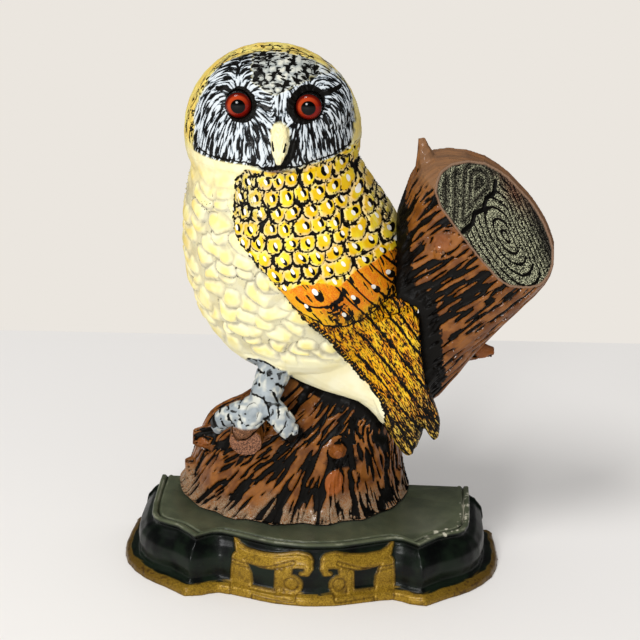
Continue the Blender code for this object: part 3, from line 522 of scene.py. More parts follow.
def owlFields(spots, normals):
    x, y, z = spots.T
    names = "wing orange grey pale dark rusty olive blade shade bare"
    f = SimpleNamespace(**{name: np.zeros(len(x)) for name in names.split()})
    sway, lean = wobble(spots, 9, 1), wobble(spots, 9, 2)
    fine, ragged = noise(spots, 1.1, 3), wobble(spots, 2, 4)
    head = fade(-0.5, 0.5, inside(x, z, owl["neckLine"]))
    wingEdge = inside(x, z, owl["wing"])
    wing = fade(-0.3, 0.5, wingEdge + 0.35 * ragged) * (1 - head)
    foot = fade(-0.4, 0.6, inside(x, z, owl["belly"])) * (x < -3) * (1 - wing) * fade(-33, -35, y)
    band = fade(16.5, 18.5, x - 0.62 * highest(0, 206 - z) + 0.004 * highest(0, 206 - z) ** 2)
    band = band * fade(160, 176, z) * (1 - head)  # the smooth shoulder
    sink = np.full(len(x), owl["baseSink"])

    def drawn(dx, dz, reach, size, seed, rows=z > 0):
        way = np.stack((dx + 0 * x, 0 * x, dz + 0 * x), axis=1)
        values = np.zeros(len(x))
        values[rows] = streaks(spots[rows], normals[rows], way[rows], reach, size, seed)
        return values

    # Breast, with soft scallops that fade out upwards and over the belly
    flank = 58 * np.arcsin(np.clip((x + 12) / 64, -0.99, 0.99))
    _, up, inner, chance = scales(flank + 2.4 * sway, 206 - z - 0.14 * (x + 45) + 2.4 * lean,
            *owl["breastFeathers"])
    breast = (1 - head) * (1 - wing) * (1 - foot)
    strength = breast * fade(200, 180, z) * fade(108, 115, z) * (0.55 + 0.45 * chance)
    soft = fade(-0.5, 2.6, inner)
    sink += strength * (1.9 * (1 - soft) + 0.7 * fade(-3.5, 4, up))
    # The pale band inside each scallop's rim is a painted highlight; the paler belly and top of the breast
    # are the paint's own
    f.pale += breast * (0.6 * strength * fade(2.2, 0.9, inner) + 0.5 * fade(118, 104, z)
            + 0.35 * fade(190, 202, z))
    f.dark += 0.62 * strength * fade(0.4, -0.1, inner + 0.9 * (fine - 0.45))
    f.dark += breast * fade(0.74, 0.8, noise(spots, 0.8, 5)) * hill(np.hypot(x + 50, z - 183), 6)
    f.wing += breast * 0.35 * fade(-36, -64, x)
    f.shade += breast * 0.75 * strength * fade(1.7, 0, inner + 0.7 * ragged)

    # Wing feathers with a slit in each
    fan = 1 + 0.0045 * highest(0, 196 - z)
    side, up, inner, chance = scales((x + 12) / fan + 0.9 * sway, 200.5 - z + 0.08 * (x + 28) + 0.9 * lean,
            *owl["wingFeathers"])
    bandTop = np.interp(x, *zip(*owl["bandTop"])) + 0.6 * ragged
    bandFoot = np.interp(x, *zip(*owl["bandFoot"])) + 0.5 * ragged
    coverts = wing * fade(-0.4, 0.4, z - bandTop) * (1 - band)
    rough = noise(spots, 2.6, 14)
    body = fade(0, 0.4, inner)
    inner = inner + (fine - 0.5) * 0.8 + 0.9 * (rough - 0.42)
    gap = fade(0.55, 0.05, inner)
    sink += coverts * (0.95 * (1 - fade(-0.3, 1.3, inner)) + 0.3 * fade(-3, 3, up))
    streak = drawn(-0.35, 0.94, 2.2, 0.7, 6)
    olive = unit(fade(-16, -30, x + 0.25 * (z - 190)) * fade(172, 186, z)
            + fade(18, 32, x + 0.3 * (z - 188)) * fade(162, 178, z))
    f.olive += coverts * olive * 0.6
    f.pale += coverts * (0.36 * fade(1.3, 0.5, inner) + 0.5 * fade(0.5, 0.75, streak) * olive)
    f.dark += coverts * (gap + (0.3 + 0.7 * olive) * fade(0.66 - 0.1 * olive, 0.78 - 0.1 * olive, streak)
            * fade(2.8, 1, inner)
            + 0.7 * fade(1.9, 0.9, inner) * fade(0.6, 0.7, fine))
    lower = fade(182, 164, z)
    tilt = math.radians(24)
    s = side * math.cos(tilt) + up * math.sin(tilt)
    t = up * math.cos(tilt) - side * math.sin(tilt) + 0.6
    flip = np.where(chance > 0.45, 1, -1)
    black = oval(s - 0.62 * flip * (1 - lower), t + 0.8 * lower, 0.85, 1.75)
    f.slit = coverts * body * black * fade(0.05, 0.2, chance)
    f.white = coverts * body * oval(s + 0.38 * flip, t - 0.7 * lower + 0.15, 0.58, 1.45)
    f.wing += wing * (1 - 0.75 * band)
    f.olive += band * 0.35

    # Orange band with a few large spots
    sash = wing * fade(0.4, -0.4, z - bandTop) * fade(-0.4, 0.4, z - bandFoot)
    lowerSash = fade(9, 3, z - bandFoot)
    slope = x * 0.79 + z * 0.61
    quill = fromLine(slope, 5.2) * 5.2
    streak = drawn(0.61, -0.79, 3.2, 0.75, 7)
    mottle = unit(blob(x, z, (12, 141.5), (5, 4)) * 1.1 + fade(28, 40, x) * 0.75
            + lowerSash * 0.55 * fade(2, 12, x))
    f.orange += sash * (1 - 0.45 * lowerSash - 0.25 * fade(0.4, 0.7, streak))
    f.dark += sash * unit(fade(0.55, 0.1, quill) * fade(9, 13, x) + mottle * fade(0.66, 0.48, fine)
            + fade(0.8, 0.9, streak) * 0.8 + fade(1, 0.3, abs(z - bandFoot)))
    big = np.hypot((x - 3.5 + 0.35 * (z - 148)) / 10, (z - 147.8) / 5.6)
    f.dark += sash * hill(big - 1, 0.1) * 0.9 * fade(150, 146, z)
    sink += sash * (0.35 * hill(quill, 0.8) + 0.25 * hill(z - bandFoot, 1) + 0.3 * hill(big - 1, 0.12))
    f.rusty += sash * mottle * 0.5 * fade(0.4, 0.6, fine)
    for sx, sz, scale in owl["spots"]:
        s = ((x - sx) * 0.78 + (z - sz) * 0.62) / scale
        t = ((z - sz) * 0.78 - (x - sx) * 0.62) / scale
        near = wing * (1 - coverts)
        f.slit = highest(f.slit, near * oval(s, t + 1, 1.15, 2.1))
        f.white = highest(f.white, near * oval(s, t - 0.9, 0.7, 1.25))

    # Long blades of the wing and the tail
    blades = wing * fade(0.4, -0.4, z - bandFoot)
    tail = fade(84, 76, z)
    slope = np.where(z > 80, x * 0.79 + z * 0.61, x * 0.86 + z * 0.5 + 5)
    pitch = np.where(slope > 112, 5, 7.5)
    quill = fromLine(slope + 0.5 * sway, pitch) * pitch + 1.2 * fade(24, 14, x) * (z > 90)
    comb = drawn(0.55, -0.83, 4, 0.7, 8)
    shade = unit(fade(100, 84, z) * 0.5 + fade(44, 54, x) * 0.6 + 0.25 * tail)
    f.orange += blades * (0.3 + 0.55 * fade(0.35, 0.7, comb)) * (1 - 0.5 * tail)
    f.olive += blades * shade * 0.7
    f.dark += blades * unit(fade(0.7, 0.2, quill) * (0.5 + 0.4 * fine) + 0.36 + 0.16 * shade
            + fade(0.5, 0.75, comb) * 0.25 + 0.04)
    f.blade += blades
    sink += blades * (0.5 * hill(quill, 0.9) + 0.25 * (1 - comb) + 0.1)
    sink -= 1.1 * hill(np.hypot(x - 48, z - 136.5), 5)  # closes the notch beside the log
    bars = fromLine(x - z, 2.6) * 2
    edge = (wing > 0.5) * (z < 134) * (z > 84) * fade(2.6, 1.8, wingEdge)
    f.dark += edge * fade(0.35, 0.5, bars + 0.3 * (fine - 0.5)) * fade(0.3, 0.9, wingEdge)
    fringe = (1 - head) * (1 - foot) * fade(200, 196, z) * (z > 62)
    f.dark += fringe * fade(0.9, 0.3, abs(wingEdge + 0.45 * ragged)) * (0.2 + 0.65 * fade(0.35, 0.6, fine))
    sink += fringe * hill(wingEdge + 0.4, 1) * 0.65

    # Head: the dished face with long strokes, the shingled forehead, the dashed crown and the beak
    faceEdge = inside(x, z, owl["face"]) + 0.9 * ragged
    face = fade(-0.5, 0.5, faceEdge) * head * (y < -8)
    border = -25 + highest(8 * fade(228, 246, z), 6 * fade(-20, 10, x))
    hairy = highest(face, head * fade(0.9, -0.9, y - border + 1.2 * ragged))
    left = x < owl["bridge"]
    eyeX = np.where(left, owl["eyes"][0][0], owl["eyes"][1][0])
    eyeZ = owl["eyes"][0][1]
    dx, dz = x - eyeX, z - eyeZ
    radius = np.hypot(dx, dz)
    middle = hill(x - owl["bridge"], 4.5) * fade(216, 224, z)
    ruff = fade(3.5, 1.5, faceEdge) * fade(230, 220, z)
    flowX = dx / highest(radius, 1) * (1 - middle) + middle * 0.1 * (x - owl["bridge"])
    flowZ = (dz / highest(radius, 1) - 0.055 * radius) * (1 - middle) + middle
    outward = np.where(left, -1, 1)
    flowX = flowX * (1 - ruff) + ruff * 0.5 * outward
    flowZ = flowZ * (1 - ruff) - ruff
    fur = drawn(flowX, flowZ, 2.8, 0.52, 10, (hairy > 0) | ((head > 0) & (z > 225)))
    beak = fade(-0.5, 0.3, inside(x, z, owl["beak"])) * head * fade(-41, -43, y)
    angle = np.arctan2(dz, dx * outward)
    ringWidth = np.where(left, 0.5 - 1.1 * np.cos(angle) + 0.4 * np.sin(angle),
            1.5 - np.cos(angle) + 0.9 * np.sin(angle))
    ring = fade(ringWidth + 0.8, ringWidth, radius - 6.2 + 0.4 * ragged) * face
    # Painted shade to the right of and below the beak, and along the lower edge of the face disc
    chinShadow = highest(face * fade(5.5, 2, -inside(x, z, owl["beak"])) * fade(219, 211, z) * (x > -17.5),
            face * fade(1.6, 0.4, faceEdge) * fade(210, 206, z))
    slashes = lineDistance(x, z, *owl["slashes"])
    brows = highest(*[hill(lineDistance(x, z, line), width) for line, width in owl["brows"]]) * head
    bias = 0.09 * hill(x - owl["bridge"], 6) * fade(214, 222, z) + 0.09 * brows - 0.07 * fade(-2, 12, x)
    bias = bias - 0.05 * (1 - face) * (1 - hill(x + 15, 12))
    f.fur = unit(fur + bias)
    crown = head * (1 - face)
    dash = drawn(-(z - 206), x + 21.5, 1.5, 0.85, 11, crown > 0)
    _, _, inner, _ = scales(x + 15 + 0.9 * sway, 262 - z - 0.004 * (x + 16) ** 2 + 0.5 * lean,
            *owl["shingles"])
    forehead = crown * hairy * fade(-30.5, -29.5, x + 3 * ragged) * fade(0.5, -0.5, x + 3 * ragged)
    inner = inner + (fine - 0.5) * 0.9
    bright = hill(x + 15, 8)
    f.strokes = highest(hairy * (1 - forehead), brows * 0.9) * (1 - beak)
    f.dark += forehead * highest(fade(0.3, -0.2, inner), 0.8 * fade(0.6, 0.7, dash),
            0.7 * (1 - bright) * fade(0.46, 0.58, fur + 0.2 * fine))
    f.grey += forehead * 0.9
    f.pale += forehead * (0.05 + 0.55 * bright) * fade(0.2, 1, inner)
    sink += forehead * 0.55 * (1 - fade(-0.2, 1, inner))
    yellow = crown * (1 - hairy)
    f.olive += hairy * (1 - forehead) * (1 - face) * fade(0, 8, x) * fade(226, 236, z) * 0.9
    dashed = yellow * fade(5, -3, x + 0.3 * (z - 236)) * fade(202, 208, z) * fade(22, 8, y - border)
    f.wing += yellow * (0.62 - 0.3 * fade(4, 16, x)) * fade(202, 209, z)
    f.olive += dashed * 0.45 * fade(0.45, 0.65, fine)
    turn = np.arctan2(z - 206, x + 21.5)
    _, _, inner, _ = scales(turn * 40 + 0.5 * sway, 46 - np.hypot(x + 21.5, z - 206), *owl["crownMarks"])
    mark = fade(0.45, 0.05, inner + 0.9 * (noise(spots, 1.8, 15) - 0.35))
    f.dark += dashed * highest(mark * 0.7, fade(0.55, 0.65, dash)) * 0.85
    sink += dashed * 0.45 * mark
    sink += face * (0.25 + 0.45 * fade(0.62, 0.38, fur)) + head * hill(faceEdge, 0.9) * 0.25
    f.dark = highest(f.dark, ring, chinShadow, fade(1.3, 0.6, slashes) * head, fade(6.5, 6.2, radius) * head)
    f.dark = unit(f.dark) * (1 - beak)
    f.dark = highest(f.dark, beak * fade(0.75, 0.35, lineDistance(x, z, *owl["nostrils"])))
    f.pale = f.pale * (1 - beak) + beak * 0.35
    f.wing = f.wing * (1 - beak) + beak * 0.15
    f.rusty += hill(np.hypot((x + 17.5) / 1.6, z - 202), 2.2) * (0.5 + 0.5 * fine)

    # Leg and toes
    ankle = np.hypot(x + 26, z - 88)
    bands = fromLine(ankle + 0.9 * sway + 0.4 * ragged, 4.7) * 2
    claws = np.minimum.reduce([np.hypot(x - tx, z - tz) for tx, tz in owl["tips"]])
    knuckle = hill(ankle - 3.2 + 0.7 * ragged, 0.35) * (y < -48)
    stub = foot * fade(9.6, 8.6, np.hypot(x + 29.2, z - 72)) * fade(80.5, 79, z)
    blotch = noise(spots, 2.2, 12)
    f.grey += foot
    f.pale += foot * 0.45 * fade(0.5, 0.8, blotch)
    marks = fade(0.3, 0.12, bands + 0.6 * (fine - 0.5)) * (ankle > 6)
    marks = highest(marks * fade(0.25, 0.5, noise(spots, 3, 16)), knuckle * 0.8 * blotch,
            0.55 * fade(0.35, 0.2, blotch), fade(3.6, 2.6, claws + 0.5 * ragged))
    f.dark = np.where(foot > 0.5, marks * (1 - stub), f.dark)
    f.stub = stub
    sink += foot * (fade(0.4, 0.1, bands) * 0.35 + knuckle * 0.3)
    return sink, vars(f)


def buildOwl(material):
    bores = [(1, (sideShift + x / 1000, z / 1000), owl["eyeHole"]) for x, z in owl["eyes"]]
    item = objectFrom(outerSolid("owl_shell", [(1, backPlane)], [*bores, (*boltHole, boltRadius)]), "owl")
    refined(item, owl["voxel"])
    softened(item, owl["softRounds"], lambda x, y, z: (z > owl["softFrom"]) & ~(  # all but the beak
        (abs(x + 15.3) < 6) & (z > 200) & (z < 226)))
    spots, normals = readSkin(item)
    sink, fields = owlFields(spots, normals)
    spots = spots - normals * (sink * (spots[:, 1] < owl["back"]))[:, None]
    spots[:, 1] = np.where(spots[:, 1] > -0.25, 1.0, spots[:, 1])  # past the casting's back
    writeSkin(item, spots, fields)
    return piecesOf(item, owl["pieces"], material, "owl_shell")


def owlMaterial():
    g = Graph("owlPaint")
    fine = g.grain(0.45, 3.0, 0.6)
    broad = g.grain(8.0, 2.0)
    fur = g.field("fur")
    faceTone = g.mix((fur + (fine - 0.5) * 0.3).fade(0.49, 0.67), "747f87", "d3dade")
    faceTone = g.mix(g.field("olive"), faceTone, "a89c58")
    stroke = (fur + (fine - 0.5) * 0.25).fade(0.44, 0.57)
    barbs = g.drawn((0.48, -0.88), 0.42, 2.2, 3.0)
    black = g.field("dark") + (fine - 0.5) * 0.5 + (barbs - 0.5) * g.field("blade") * 1.9
    black = black.fade(0.36, 0.6).math("MAXIMUM", g.field("slit").fade(0.42, 0.58))
    white = g.field("white").fade(0.42, 0.58) * (1.0 - g.field("strokes"))
    base = g.coats(
        g.mix(broad.fade(0.35, 0.65), "ecdd90", "f2ebb8"),
        ("wing", g.mix(broad.fade(0.35, 0.7), "e6b408", "f2d82a")),
        ("olive", g.mix(fine.fade(0.4, 0.6), "8c8340", "c9c07c")),
        ("orange", g.mix(fine.fade(0.4, 0.6), "d8650a", "ea9414")),
        ("grey", g.mix(broad, "7c8488", "a4acb0")),
        ("pale", "f3efda"),
        ("rusty", "7c3417"),
        ("stub", g.mix(fine.fade(0.46, 0.54), "3c2216", "8c6244")),
        ("shade", "9a9482"),
        ("strokes", g.mix(stroke, "0c0b0a", faceTone)),
        (black, "0e0c09"),
        (white, "f4f1e6"),
        g.bareIron(fine))
    height = fine * 0.25 - black * 0.2 + broad * 0.2
    return g.surface(base, 0.36 + fine * 0.16, height, 0.2, Specular_IOR_Level=0.1, Coat_Roughness=0.22,
            Coat_Weight=(1.0 - black) * 0.16)


# Eyes

eyes = {"radius": 5.95, "seat": 0.0015, "segments": 64, "pupil": 3.25, "iris": 5.55, "sharpAngle": 40}


def buildEye(name, nodeName, material):
    low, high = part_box(nodeName)
    centre = (low + high) / 2
    flange = (high.x - low.x) / 2 * 0.995
    radius = eyes["radius"] / 1000
    crown = high.y - low.y
    shoulder = crown - 0.55 * radius
    profile = [(0.0, 0.0), (flange, 0.0), (flange, eyes["seat"]), (radius, eyes["seat"]),
            (radius, shoulder * 0.9)]
    for k in range(13):
        angle = math.pi / 2 * k / 12
        profile.append((radius * math.cos(angle), shoulder + (crown - shoulder) * math.sin(angle)))
    bm = bmesh.new()
    verts = [bm.verts.new((r, 0.0, along)) for r, along in profile]
    edges = [bm.edges.new(pair) for pair in zip(verts, verts[1:])]
    bmesh.ops.spin(bm, geom=verts + edges, cent=(0, 0, 0), axis=(0, 0, 1), angle=2 * math.pi,
            steps=eyes["segments"], use_merge=True, use_duplicate=False)
    bmesh.ops.remove_doubles(bm, verts=bm.verts, dist=1e-6)
    turn = Vector((0, -1, 0)).to_track_quat("Z", "Y").to_matrix().to_4x4()
    bmesh.ops.transform(bm, matrix=Matrix.Translation((centre.x, high.y, centre.z)) @ turn, verts=bm.verts)
    item = objectFrom(bm, name)
    spots, _ = readSkin(item)
    across, up = spots[:, 0] - (centre.x - sideShift) * 1000, spots[:, 2] - centre.z * 1000
    # slope runs from the upper left to the lower right of the eye, for painted light and shade on the iris
    writeSkin(item, spots, {"fromAxis": np.hypot(across, up), "slope": (across - up) / 8 + 0.5})
    return finished(item, material, eyes["sharpAngle"])


def eyeMaterial():
    g = Graph("eyeGlass")
    fromAxis = g.field("fromAxis")
    tone = g.coats(
        # The iris is painted lighter at the upper left and darker at the lower right, as painted light and
        # shade
        g.mix(g.field("slope"), "a83a18", "780f06"),
        (fromAxis.fade(4.3, 5.2), "560c04"),
        (fromAxis.fade(eyes["pupil"] + 0.15, eyes["pupil"] - 0.15), "020202"),
        (fromAxis.fade(eyes["iris"], eyes["iris"] + 0.25), "0c0a09"))
    return g.surface(tone, 0.12, Coat_Weight=0.22, Coat_Roughness=0.05, Specular_IOR_Level=0.06)


# Stump and log

trunk = {
    "voxel": 0.0005, "apex": (14, 88), "face": (82, -18, 170), "major": (0.64, 0.0, -0.77),
    "minor": (0.61, 0.72, 0.33), "stub": (-29.2, 72), "baseSink": 0.1, "back": -0.4, "foot": 28.3,
    "skin": 0.0008, "owlReach": 12.0, "rings": (5.5, -2.0, 0.5), "ringStep": 2.9,
    "crack": [(-14.5, 10.5), (-11.5, 6), (-12.8, 1), (-10.3, -4), (-12.2, -9), (-10.0, -14), (-11, -20)],
    "knots": [(-53.0, 57.0, 2.6), (12.6, 64.4, 4.2), (57.5, 166, 4.0), (80, 105, 5.0)],
    "shadows": [((14.5, 58), (9, 4.5), 0.9), ((-9, 72), (7.5, 5.5), 1.0)],
    "pieces": {"barkLeft": ((-1, -1, -1), (-0.02, 1, 0.095)), "barkRight": ((-0.02, -1, -1), (1, 1, 0.095)),
               "barkLogLow": ((-1, -1, 0.095), (1, 1, 0.148)), "barkLogHigh": ((-1, -1, 0.148), (1, 1, 1))},
}


def trunkFields(spots, normals, toOwl):
    x, y, z = spots.T
    sway, fine, medium = wobble(spots, 11, 4), noise(spots, 1.2, 5), noise(spots, 4.5, 6)
    mid, major, minor = (np.array(trunk[name]) for name in ("face", "major", "minor"))
    outward = np.cross(major, minor)
    outward = outward / np.linalg.norm(outward)
    along = (spots - mid) @ major
    side = (spots - mid) @ minor
    above = (spots - mid) @ outward
    saw = fade(0.9, 0.97, normals @ outward) * fade(-6, -3.5, above)
    onLog = fade(-4, 6, 0.6 * (x - 36) + 0.8 * (z - 84))
    bark, stump = 1 - saw, 1 - onLog

    # Bark: ridges that fan out over the stump and run up along the log, round the knots
    wayX = trunk["apex"][0] - x
    wayZ = highest(trunk["apex"][1] - z, 6)
    reach = np.hypot(wayX, wayZ)
    high = fade(62, 80, z) * stump
    wayX = wayX / reach * (1 - high) + 0.6 * high
    wayZ = wayZ / reach * (1 - high) + 0.8 * high
    wayX = wayX * stump + (0.78 + 0.1 * sway) * onLog
    wayZ = wayZ * stump + 0.62 * onLog
    knot = 0 * x
    for kx, kz, radius in trunk["knots"]:
        away = np.hypot(x - kx, z - kz)
        knot = highest(knot, fade(radius + 1, radius - 1, away) * (saw < 0.5))
        turn = 1.3 * hill(away - radius, radius * 0.9)
        turn = turn * np.sign((kz - z) * wayX - (kx - x) * wayZ + 1e-9) / highest(away, 1)
        wayX = wayX + turn * (kz - z)
        wayZ = wayZ - turn * (kx - x)
    way = np.stack((wayX, 0 * x, wayZ), axis=1)
    broad = streaks(spots, normals, way, 8, 1.55, 21)
    narrow = streaks(spots, normals, way, 4, 0.9, 22)
    ridge = 0.62 * broad + 0.38 * narrow
    level = 0.45 + 0.05 * fade(46, 58, z) * stump + 0.04 * fade(8, 26, x) * stump + 0.04 * onLog
    groove = fade(level + 0.055, level - 0.055, ridge)
    horn = fade(70, 60, x) * fade(184, 194, z + 0.3 * (x - 58))
    collar = fade(-5, -1.5, above + 2.5 * (medium - 0.5)) * onLog * bark
    collar = highest(collar * fade(-2, 8, side), onLog * bark * fade(0.25, 0.6, normals[:, 2]) * 0.8)
    calm = unit(horn + collar * 0.85)
    groove = groove * (1 - 0.9 * calm)
    sink = trunk["baseSink"] + bark * (groove * 1.15 + 0.35 * (1 - broad) + 0.25 * medium)

    # Sawn face: two sets of rings, a crack between them and the smooth rim of the bark
    ringX, ringZ, squash = trunk["rings"]
    crack = lineDistance(along, side, trunk["crack"])
    drop = strokeDistance(along, side, [(-20.5, 2.5), (-14, -17)], (10, 1))
    toFirst = np.where(drop < 0, (10 - drop) * 0.6 + 4, 10 - drop) * 0.8 + 0.5 * sway
    toSecond = highest(np.hypot((along - ringX) * squash, side - ringZ),
            1.3 * (side - ringZ) + 0.3 * (along - ringX)) + 0.5 * sway
    inFirst = along < -11 - 0.15 * side
    distance = np.where(inFirst, toFirst, toSecond)
    wave = fromLine(distance, trunk["ringStep"]) * 2
    ringGroove = fade(0.36, 0.16, wave + 0.3 * (fine - 0.5)) * np.where(inFirst, 0.5, 1)
    toBrink = nearest(spots, (saw < 0.5) & (above > -8), saw > 0, 0.0)
    rim = fade(1.7, 1.1, toBrink)
    sink += saw * (1 - rim) * (0.35 + ringGroove * 0.5) + saw * hill(crack, 1) * 1.3
    paleFace = (1 - rim) * np.where(inFirst, 0.12 + 0.65 * fade(0.66, 0.85, wave), 0.92)
    paleFace = paleFace * fade(22, 12, side + 0.3 * abs(along)) * fade(0.15, 0.5, medium + 0.35)
    # The pale line along each side of the crack is a painted highlight
    paleFace = highest(paleFace, hill(crack - 1.7, 0.55) * 0.9,
            (1 - rim) * hill(toBrink - 2.6, 0.8) * fade(4, -6, side) * 0.9)

    stubX, stubZ = trunk["stub"]
    stubAt = np.hypot(x - stubX, z - stubZ)
    stub = fade(9.4, 8.2, stubAt) * fade(-46, -48, y)
    stubEnd = stub * fade(0.7, 0.9, -normals[:, 1])
    plain = highest(knot, stub)
    patch = np.hypot((x - 11.5 - 0.12 * (z - 47)) / 4.6, (z - 47.5) / 6.2)
    patch = fade(1.15, 0.8, patch + 0.3 * (medium - 0.5))
    sink = sink * (1 - 0.8 * plain) * (1 - 0.55 * patch) * fade(2, 7, toOwl) + 0.1 * plain
    wash = fade(43, 31, z + 6 * sway + 4 * (medium - 0.5)) * bark
    dark = groove * (1 - plain) * (1 - patch) * bark
    # Painted shade on the log beside the owl, on the stump under the owl's belly and in the listed shadow
    # spots
    paintedShade = fade(12, 6.5, toOwl + 2.5 * (fine - 0.5)) * onLog * (1 - horn) * fade(196, 188, z)
    paintedShade = highest(paintedShade, fade(6, 3, toOwl) * stump * fade(70, 76, z) * (x > -12) * 0.8,
            *[blob(x, z, middle, reach) * depth for middle, reach, depth in trunk["shadows"]])
    dark = highest(dark, paintedShade * bark * (1 - knot), hill(stubAt - 9.8, 1.2) * fade(-38, -44, y) * 0.9)
    dark = dark * (1 - 0.35 * wash) + bark * (1 - plain) * 0.34 * fade(14, 38, x) * stump
    dark = highest(dark, saw * highest((1 - rim) * ringGroove, fade(1.5, 0.7, crack)))
    # Where the smooth bark faces upwards, calm also carries a painted highlight
    fields = dict(ridge=ridge, saw=saw, rim=rim * saw, pale=saw * paleFace, dark=unit(dark), wash=wash,
                  stubEnd=stubEnd, patch=patch * bark, knot=knot,
                  calm=calm * fade(-0.1, 0.45, normals[:, 2]),
                  redBrown=saw * blob(along, side, (-4, 15), (10, 5)))
    return sink, fields


def buildTrunk(material):
    foot = trunk["foot"]
    near = BVHTree.FromBMesh(outerSkin("stump_trunk", [(1, backPlane), (2, foot / 1000)],
            [(*boltHole, boltRadius), *screwHoles], "owl_shell"))
    owlSkin = BVHTree.FromBMesh(mergedMesh("owl_shell"))
    item = refined(objectFrom(mergedMesh("stump_trunk"), "stumpAndLog"), trunk["voxel"])
    spots, normals = readSkin(item)
    outside = np.array([bool(near.find_nearest(vert.co, trunk["skin"])[0]) for vert in item.data.vertices])
    toOwl = np.full(len(spots), trunk["owlReach"])
    for i in np.flatnonzero(outside).tolist():
        found = owlSkin.find_nearest(item.data.vertices[i].co, trunk["owlReach"] / 1000)[3]
        if found is not None:
            toOwl[i] = found * 1000
    sink, fields = trunkFields(spots, normals, toOwl)
    fields["bare"] = 1.0 - outside
    keep = outside & (spots[:, 1] < trunk["back"]) & (spots[:, 2] > foot + 0.6)
    spots = spots - normals * (sink * keep)[:, None]
    spots[:, 1] = np.where(spots[:, 1] > -0.25, 0.0, spots[:, 1])
    spots[:, 2] = np.where(spots[:, 2] < foot + 0.3, foot, spots[:, 2])
    writeSkin(item, spots, fields)
    return piecesOf(item, trunk["pieces"], material)


def trunkMaterial():
    g = Graph("trunkPaint")
    fine = g.grain(0.5, 3.0, 0.6)
    broad = g.grain(6.0, 2.0)
    stipple = fine.fade(0.505, 0.565)
    black = (g.field("dark") + (fine - 0.5) * 0.45).fade(0.36, 0.6)
    sawn = g.coats(
        g.mix(stipple, "070605", g.mix(g.field("pale"), "4a463c", "c8c8a4")),
        (g.field("redBrown") * 0.8, g.mix(stipple, "2a120a", "7c4a32")),
        ("rim", g.mix(fine, "6a4a36", "a1846c")))
    tone = g.coats(
        g.mix(broad.fade(0.35, 0.65), "66380f", "8a5420"),
        (g.field("ridge").fade(0.62, 0.42) * 0.5, "38200a"),
        # Painted highlight: smooth bark painted lighter where it faces upwards
        (g.field("calm") * 0.65, "8a684c"),
        ("patch", "96501c"),
        (g.field("wash") * fine.fade(0.38, 0.6), "94826a"),
        (g.field("knot") * 0.6, "8c4e20"),
        ("stubEnd", g.mix(fine.fade(0.46, 0.54), "3c2216", "9c6a4c")),
        (fine.fade(0.66, 0.72) * 0.75, "140c06"),
        ("saw", sawn),
        (black, "0a0806"),
        g.bareIron(fine))
    height = fine * 0.35 - black * 0.2 + broad * 0.2
    roughness = 0.3 + g.field("wash") * 0.25 + g.field("saw") * 0.25 + fine * 0.12
    return g.surface(tone, roughness, height, 0.22, Specular_IOR_Level=0.1, Coat_Roughness=0.15,
            Coat_Weight=(1.0 - black) * (1.0 - g.field("saw")) * 0.35)


# Plinth

plinth = {
    "voxel": 0.0005, "softRounds": 40, "boltHead": 0.0095, "sink": 0.9, "mirror": 5.4,
    "squeeze": 1.14, "rimTop": 4.7, "lip": 2.4,
    "scroll": [([(-33.8, 24.8), (-31.5, 21.5), (-28, 19.3), (-20, 18.6), (-12, 19.2), (-4, 20.6),
                 (0.5, 20.3)], (0.8, 2.2, 3.2, 3.6, 3.6, 3.4, 3.2)),
               ([(0.5, 20.3), (1.6, 17.5), (0.8, 15.0), (-1.8, 14.6)], (3.2, 2.2, 1.6, 1.1)),
               ([(-31.5, 17), (-30.4, 10), (-30.2, 2)], (3.6, 5.2, 5.6)),
               ([(-6.5, 8.8), (-6.2, 8.6)], (5.2, 5.2)), ([(-9.5, 12), (-8.5, 16.5)], (3.0, 2.6)),
               ([(-26, 3.6), (-6, 3.2)], (1.6, 2.2)), ([(-12.3, 14), (-12.3, 5)], (2.2, 2.4))],
    "window": (-19.6, 9.8, 4.8, 3.4), "volute": (-6.5, 8.8),
    "rope": [(-35, 15.5), (-27, 14.4), (-20, 14.8), (-13, 17.0), (-6, 19.4)],
    "pieces": {"plinthCasting": ((-1, -1, -1), (1, 1, 1))},
}


